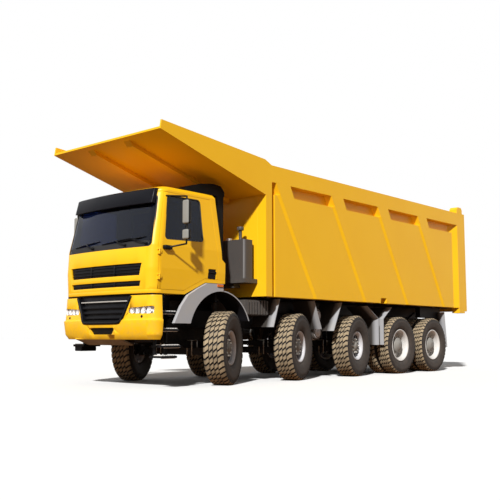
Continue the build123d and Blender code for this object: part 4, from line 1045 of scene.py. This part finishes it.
SEAT_Y = 0.58
SEAT_PEDESTAL = ((0.44, 0.43, 1.80), (0.79, 0.73, 2.03))
SEAT_SEAMS = (-0.14, 0.14)
BACK_LEAN = radians(83.2)
SEAT_PADS = (
    # size, place along and up, lean, sewn channels: cushion, back, headrest
    ((0.50, 0.49, 0.15), (0.61, 2.085), 0.0, SEAT_SEAMS),
    ((0.66, 0.47, 0.11), (0.375, 2.47), BACK_LEAN, SEAT_SEAMS),
    ((0.17, 0.30, 0.09), (0.335, 2.80), BACK_LEAN, ()),
)


def seats():
    """Replace the plain seats by padded ones on pedestals, with sewn channels and headrests."""
    bm = bmesh.new()
    posts = bmesh.new()
    for _, sign in SIDES:
        for size, (x, z), lean, seams in SEAT_PADS:
            place = Matrix.Translation(at(x, sign * SEAT_Y, z))
            pad(bm, size, place @ Matrix.Rotation(lean, 4, "Y"), seams)
        (x0, y0, z0), (x1, y1, z1) = SEAT_PEDESTAL
        a, b = sorted((sign * y0, sign * y1))
        rounded_block(posts, at(x0, a, z0), at(x1, b, z1), 0.02)
    padded = make_piece("seat_cushions", bm, "chassis", "seat_fabric", CLOTH, smooth=True)
    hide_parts("seats")
    make_piece("seat_pedestals", posts, "chassis", "black_plastic", TRIM)


TREAD_PLATES = (
    # height of the step's top, back and front, outer edge, whether the right side has it too
    (1.215, 1.055, 1.385, 1.120, True),
    (0.940, 1.075, 1.397, 1.170, True),
    (0.680, 1.030, 1.365, 1.170, True),
    (0.515, 1.100, 1.403, 1.155, False),
)
STEP_INNER = 0.955
STEP_BARS = 6
STEP_BAR_HALF = 0.010
STEP_ABOVE = 0.1
NOSE_WIDTH = 0.03
NOSE_DROP = 0.045
NOSE_RISE = 0.006


def step_treads():
    """Light tread plates with raised bars and rounded noses on the cab steps."""
    bm = bmesh.new()
    for top, back, front, outer, both in TREAD_PLATES:
        for sign in (1, -1) if both else (1,):
            a, b = sign * STEP_INNER, sign * outer
            corners = [at(*point, top + STEP_ABOVE) for point in corners_of(back, front, a, b)]
            skin_plate(bm, "cab_steps", corners, -UP, (2, 2), 0.004)
            for k in range(STEP_BARS):
                x = back + (front - back) * (k + 0.5) / STEP_BARS
                bar = corners_of(x - STEP_BAR_HALF, x + STEP_BAR_HALF, a, b)
                corners = [at(*point, top + STEP_ABOVE) for point in bar]
                skin_plate(bm, "cab_steps", corners, -UP, (1, 2), 0.014)
            near, far = sorted((b, b - sign * NOSE_WIDTH))
            rounded_block(bm, at(back, near, top - NOSE_DROP), at(front, far, top + NOSE_RISE), 0.012)
    make_piece("step_treads", bm, "chassis", "hoist_steel", SILVER)


MARKER_X = (0.080, 0.215)
MARKER_Z = (1.655, 1.695)
TAIL_LENSES = (
    # inner and outer edge, finish
    (0.478, 0.562, 1),
    (0.572, 0.644, 0),
    (0.654, 0.722, 2),
)
TAIL_Z = (1.022, 1.118)
BEHIND_TAIL_X = -8.2


def lamps():
    """Amber side markers on the front arches and the tail lamps on their housings."""
    bm = bmesh.new()
    for _, sign in SIDES:
        corners = [at(x, OUTSIDE * sign, z) for x, z in corners_of(*MARKER_X, *MARKER_Z)]
        skin_plate(bm, "mudguards", corners, -LEFT * sign, (4, 2), 0.016)
        for inner, outer, index in TAIL_LENSES:
            lens = corners_of(sign * inner, sign * outer, *TAIL_Z)
            corners = [at(BEHIND_TAIL_X, *point) for point in lens]
            skin_plate(bm, "chassis_frame", corners, FORWARD, (3, 3), 0.014, index)
    make_piece("marker_and_tail_lenses", bm, "chassis", "lamp_glass", AMBER, RED, LENS)


RESERVOIR_X = -2.86
RESERVOIR_Z = (1.24, 0.90)
RESERVOIR_R = 0.150
STRAP_Y = (0.60, 0.90)
STRAP_HALF = 0.018
# Rise and share of the half width round a strap's section
STRAP_SECTION = ((0.0, -1), (0.0, 1), (0.005, 1), (0.005, -1))
BOTTLE_END = (
    # radius and distance from the middle of the truck, over the air bottle's domed end
    (0.012, 1.066),
    (0.024, 1.064),
    (0.026, 1.055),
    (0.078, 1.053),
    (0.116, 1.041),
    (0.141, 1.012),
    (0.153, 0.975),
    (0.153, 0.950),
)
FILLER = (-0.605, 0.72, 2.540)
# Radius and height over the tank
FILLER_CAP = (
    (0.010, 0.050), (0.050, 0.050), (0.056, 0.044),
    (0.056, 0.018), (0.064, 0.016), (0.064, -0.004),
)
CLAMP_X = (-0.065, 0.065)
CLAMP_Y = (0.343, 0.457)
CLAMP_Z = (0.480, 0.752)
CLAMP_R = 0.011
CLAMP_BEND = 0.03
CLAMP_DROP = 0.02
SPRING_AXLE_X = (0.0, -1.950, -3.920)


def chassis_fittings():
    """Straps and ends of the air bottles, the oil tank's filler cap and the clamps that hold the springs."""
    bm = bmesh.new()
    for _, sign in SIDES:
        for z in RESERVOIR_Z:
            for y in STRAP_Y:
                profile = [(RESERVOIR_R + r, STRAP_HALF * share) for r, share in STRAP_SECTION]
                ring_of(bm, profile, 40, Matrix.Translation(at(RESERVOIR_X, sign * y, z)))
        low, high = CLAMP_Z
        for axle_x in SPRING_AXLE_X:
            for x in CLAMP_X:
                a, b = (sign * y for y in CLAMP_Y)
                bend = (b - a) * CLAMP_BEND
                route = [(a, low), (a, high - CLAMP_DROP), (a + bend, high)]
                route += [(b - bend, high), (b, high - CLAMP_DROP), (b, low)]
                sweep(bm, [at(axle_x + x, *point) for point in route], CLAMP_R, sides=8)
    disc_of(bm, FILLER_CAP, 28, facing(at(*FILLER), UP))
    make_piece("chassis_fittings", bm, "chassis", "hoist_steel", ZINC)
    # Light grey bottle ends on the dark grey bottles: painted highlight where the domes catch the sky
    bm = bmesh.new()
    for _, sign in SIDES:
        for z in RESERVOIR_Z:
            disc_of(bm, BOTTLE_END, 40, facing(at(RESERVOIR_X, 0, z), LEFT * sign))
    make_piece("air_bottle_ends", bm, "chassis", "tank_paint", LIGHT_GREY)


RIB_FRONT_X = (-1.270, -3.005, -4.740, -6.475)
RIB_WIDTH = 0.270
RIB_LEAN = 1.080
RIB_Z = (1.530, 3.610)
RIB_FACE_Y = 1.417
HEAD_EXTRA = 0.150
BAY_START_X = -1.110
BAY_END_X = -8.075
BAY_ROWS = (
    # height, distance of the plate's face from the middle
    (1.532, 1.388),
    (3.395, 1.388),
    (3.410, 1.279),
    (3.608, 1.279),
)
BAY_BACK_Y = 1.268
FLANK = 0.070
NOTCH = (-4.690, -4.920, 1.640)


def rib_edge(rib, z):
    """Front edge of a leaning rib at a height."""
    low, high = RIB_Z
    return rib - RIB_LEAN * (high - z) / (high - low)


def bay(bm, sign, rows, ahead, rib):
    """One pressed plate from a line ahead of it to the rib behind it, which it covers."""
    loops = []
    for z, y in rows:
        edge = rib_edge(rib, z)
        head = edge + HEAD_EXTRA * (z - RIB_Z[0]) / (RIB_Z[1] - RIB_Z[0])
        route = [(ahead(z), BAY_BACK_Y), (ahead(z), y), (head + FLANK, y), (head, RIB_FACE_Y)]
        route += [(edge - RIB_WIDTH, RIB_FACE_Y), (edge - RIB_WIDTH, BAY_BACK_Y)]
        loops.append([at(x, sign * depth, z) for x, depth in route])
    loft_loops(bm, loops)


def flat_plate(bm, sign, rows, ahead, behind):
    """One pressed plate between two lines."""
    loops = []
    for z, y in rows:
        route = [(ahead(z), BAY_BACK_Y), (ahead(z), y), (behind(z), y), (behind(z), BAY_BACK_Y)]
        loops.append([at(x, sign * depth, z) for x, depth in route])
    loft_loops(bm, loops)


def bay_plates():
    """Pressed plates between the bed's ribs, recessed below the top rail, with sloped flanks at the ribs."""
    bm = bmesh.new()
    front, back, top = NOTCH
    face = BAY_ROWS[0][1]
    below = (BAY_ROWS[0], (top, face))
    above = ((top, face), *BAY_ROWS[1:])
    for sign in (1, -1):
        bay(bm, sign, BAY_ROWS, lambda z: BAY_START_X, RIB_FRONT_X[0])
        for rib, following in zip(RIB_FRONT_X, RIB_FRONT_X[1:]):
            start = rib_edge(rib, RIB_Z[0]) - RIB_WIDTH
            end = rib_edge(following, RIB_Z[0])
            if start > front and back > end:
                flat_plate(bm, sign, below, lambda z: rib_edge(rib, z) - RIB_WIDTH, lambda z: front)
                bay(bm, sign, below, lambda z: back, following)
                bay(bm, sign, above, lambda z: rib_edge(rib, z) - RIB_WIDTH, following)
            else:
                bay(bm, sign, BAY_ROWS, lambda z: rib_edge(rib, z) - RIB_WIDTH, following)
        last = RIB_FRONT_X[-1]
        flat_plate(bm, sign, BAY_ROWS, lambda z: rib_edge(last, z) - RIB_WIDTH, lambda z: BAY_END_X)
    make_piece("bed_bay_plates", bm, "bed", "yellow_paint", YELLOW)


# A black block behind the seam between cab and bumper: painted shade that fills the gap
SHADOW_GAP_BLOCK = ((1.30, -1.10, 1.43), (1.575, 1.10, 1.512))
STEP_BOX = ((1.04, -1.165, 0.565), (1.36, -0.96, 0.675))
CAB_BEAM = ((-0.07, -0.95, 1.40), (-0.01, 0.95, 1.62))
FRAME_DUCT = ((-3.10, -0.14, 1.27), (-0.34, 0.14, 1.49))
SILL_X = (-7.90, -6.90)
SILL_Y = (0.97, 1.10)
SILL_Z = (1.264, 1.529)


def dark_fillers():
    """Black block in the seam between cab and bumper as painted shade in the gap, pipe duct, step box and
    cab beam, and sills under the bed's rear end.
    """
    bm = bmesh.new()
    for low, high in (SHADOW_GAP_BLOCK, FRAME_DUCT, STEP_BOX, CAB_BEAM):
        rounded_block(bm, at(*low), at(*high), 0.015)
    make_piece("shadow_gap_block_and_duct", bm, "chassis", "black_plastic", TRIM)
    bm = bmesh.new()
    for _, sign in SIDES:
        a, b = sorted(sign * y for y in SILL_Y)
        rounded_block(bm, at(SILL_X[0], a, SILL_Z[0]), at(SILL_X[1], b, SILL_Z[1]), 0.012)
    make_piece("bed_rear_sills", bm, "bed", "black_steel", BLACK)


SUN = Vector((0.72, 0.38, 0.58))
SUN_ENERGY = 5.0
SUN_ANGLE = radians(3)
SKY_FILL = 0.22
SUN_COLOUR = (1.0, 0.99, 0.97)
FLOOR_HALF = 120
FLOOR_BOUNCE = "#83634A"
FLOOR_WHITE = "#F6F6F6"


def studio():
    """White floor and sky for the eye, a bounce as warm as dry ground, one soft sun and an even fill."""
    bm = bmesh.new()
    corners = corners_of(-FLOOR_HALF, FLOOR_HALF, -FLOOR_HALF, FLOOR_HALF)
    bm.faces.new([bm.verts.new((*corner, 0)) for corner in corners])
    mesh = bpy.data.meshes.new("floor")
    bm.to_mesh(mesh)
    bm.free()
    floor = bpy.data.objects.new("floor", mesh)
    paper = new_material("white studio paper", Roughness=0.9, Specular_IOR_Level=0.1)
    ray = add(paper, "LightPath").outputs
    tone = add(paper, "Mix", tones(FLOOR_BOUNCE, FLOOR_WHITE), _0=ray["Is Camera Ray"])
    feed(paper, Base_Color=tone)
    mesh.materials.append(paper)
    bpy.context.scene.collection.objects.link(floor)

    world = bpy.data.worlds.new("studio")
    bpy.context.scene.world = world
    world.use_nodes = True
    ray = add(world, "LightPath").outputs
    seen = ray["Is Camera Ray"]
    for kind in ("Is Glossy Ray", "Is Transmission Ray"):
        seen = add(world, "Math", {"operation": "MAXIMUM"}, _0=seen, _1=ray[kind])
    level = add(world, "MapRange", span(0.0, 1.0, SKY_FILL, 1.0), Value=seen)
    sky = world.node_tree.nodes["Background"]
    sky.inputs["Color"].default_value = (1.0, 1.0, 1.0, 1.0)
    world.node_tree.links.new(output_of(level), sky.inputs["Strength"])

    key = bpy.data.lights.new("key", "SUN")
    key.energy = SUN_ENERGY
    key.angle = SUN_ANGLE
    key.color = SUN_COLOUR
    lamp = bpy.data.objects.new("key", key)
    lamp.rotation_euler = (-SUN).to_track_quat("-Z", "Y").to_euler()
    bpy.context.scene.collection.objects.link(lamp)


CAMERA_PLACE = (9.6527, 10.2232, 0.8235)
CAMERA_YAW = radians(-138.755)
CAMERA_PITCH = radians(6.371)
FOCAL_PIXELS = 772.29
IMAGE_PIXELS = 500
SENSOR_MM = 36.0


def camera():
    """Camera at the photograph's place and angle."""
    data = bpy.data.cameras.new("camera")
    data.sensor_width = SENSOR_MM
    data.sensor_fit = "HORIZONTAL"
    data.lens = SENSOR_MM * FOCAL_PIXELS / IMAGE_PIXELS
    data.clip_end = 300
    obj = bpy.data.objects.new("camera", data)
    obj.location = at(*CAMERA_PLACE)
    look = (cos(CAMERA_YAW) * cos(CAMERA_PITCH), sin(CAMERA_YAW) * cos(CAMERA_PITCH), sin(CAMERA_PITCH))
    obj.rotation_euler = Vector(look).to_track_quat("-Z", "Y").to_euler()
    bpy.context.scene.collection.objects.link(obj)
    bpy.context.scene.camera = obj


dress_nodes()
tyres()
rims()
window_seals()
windscreen_foot()
headlamps()
grille_trim()
door_fittings()
cab_lining()
seats()
step_treads()
lamps()
chassis_fittings()
bay_plates()
dark_fillers()
studio()
camera()
bpy.context.scene.view_settings.view_transform = "Standard"
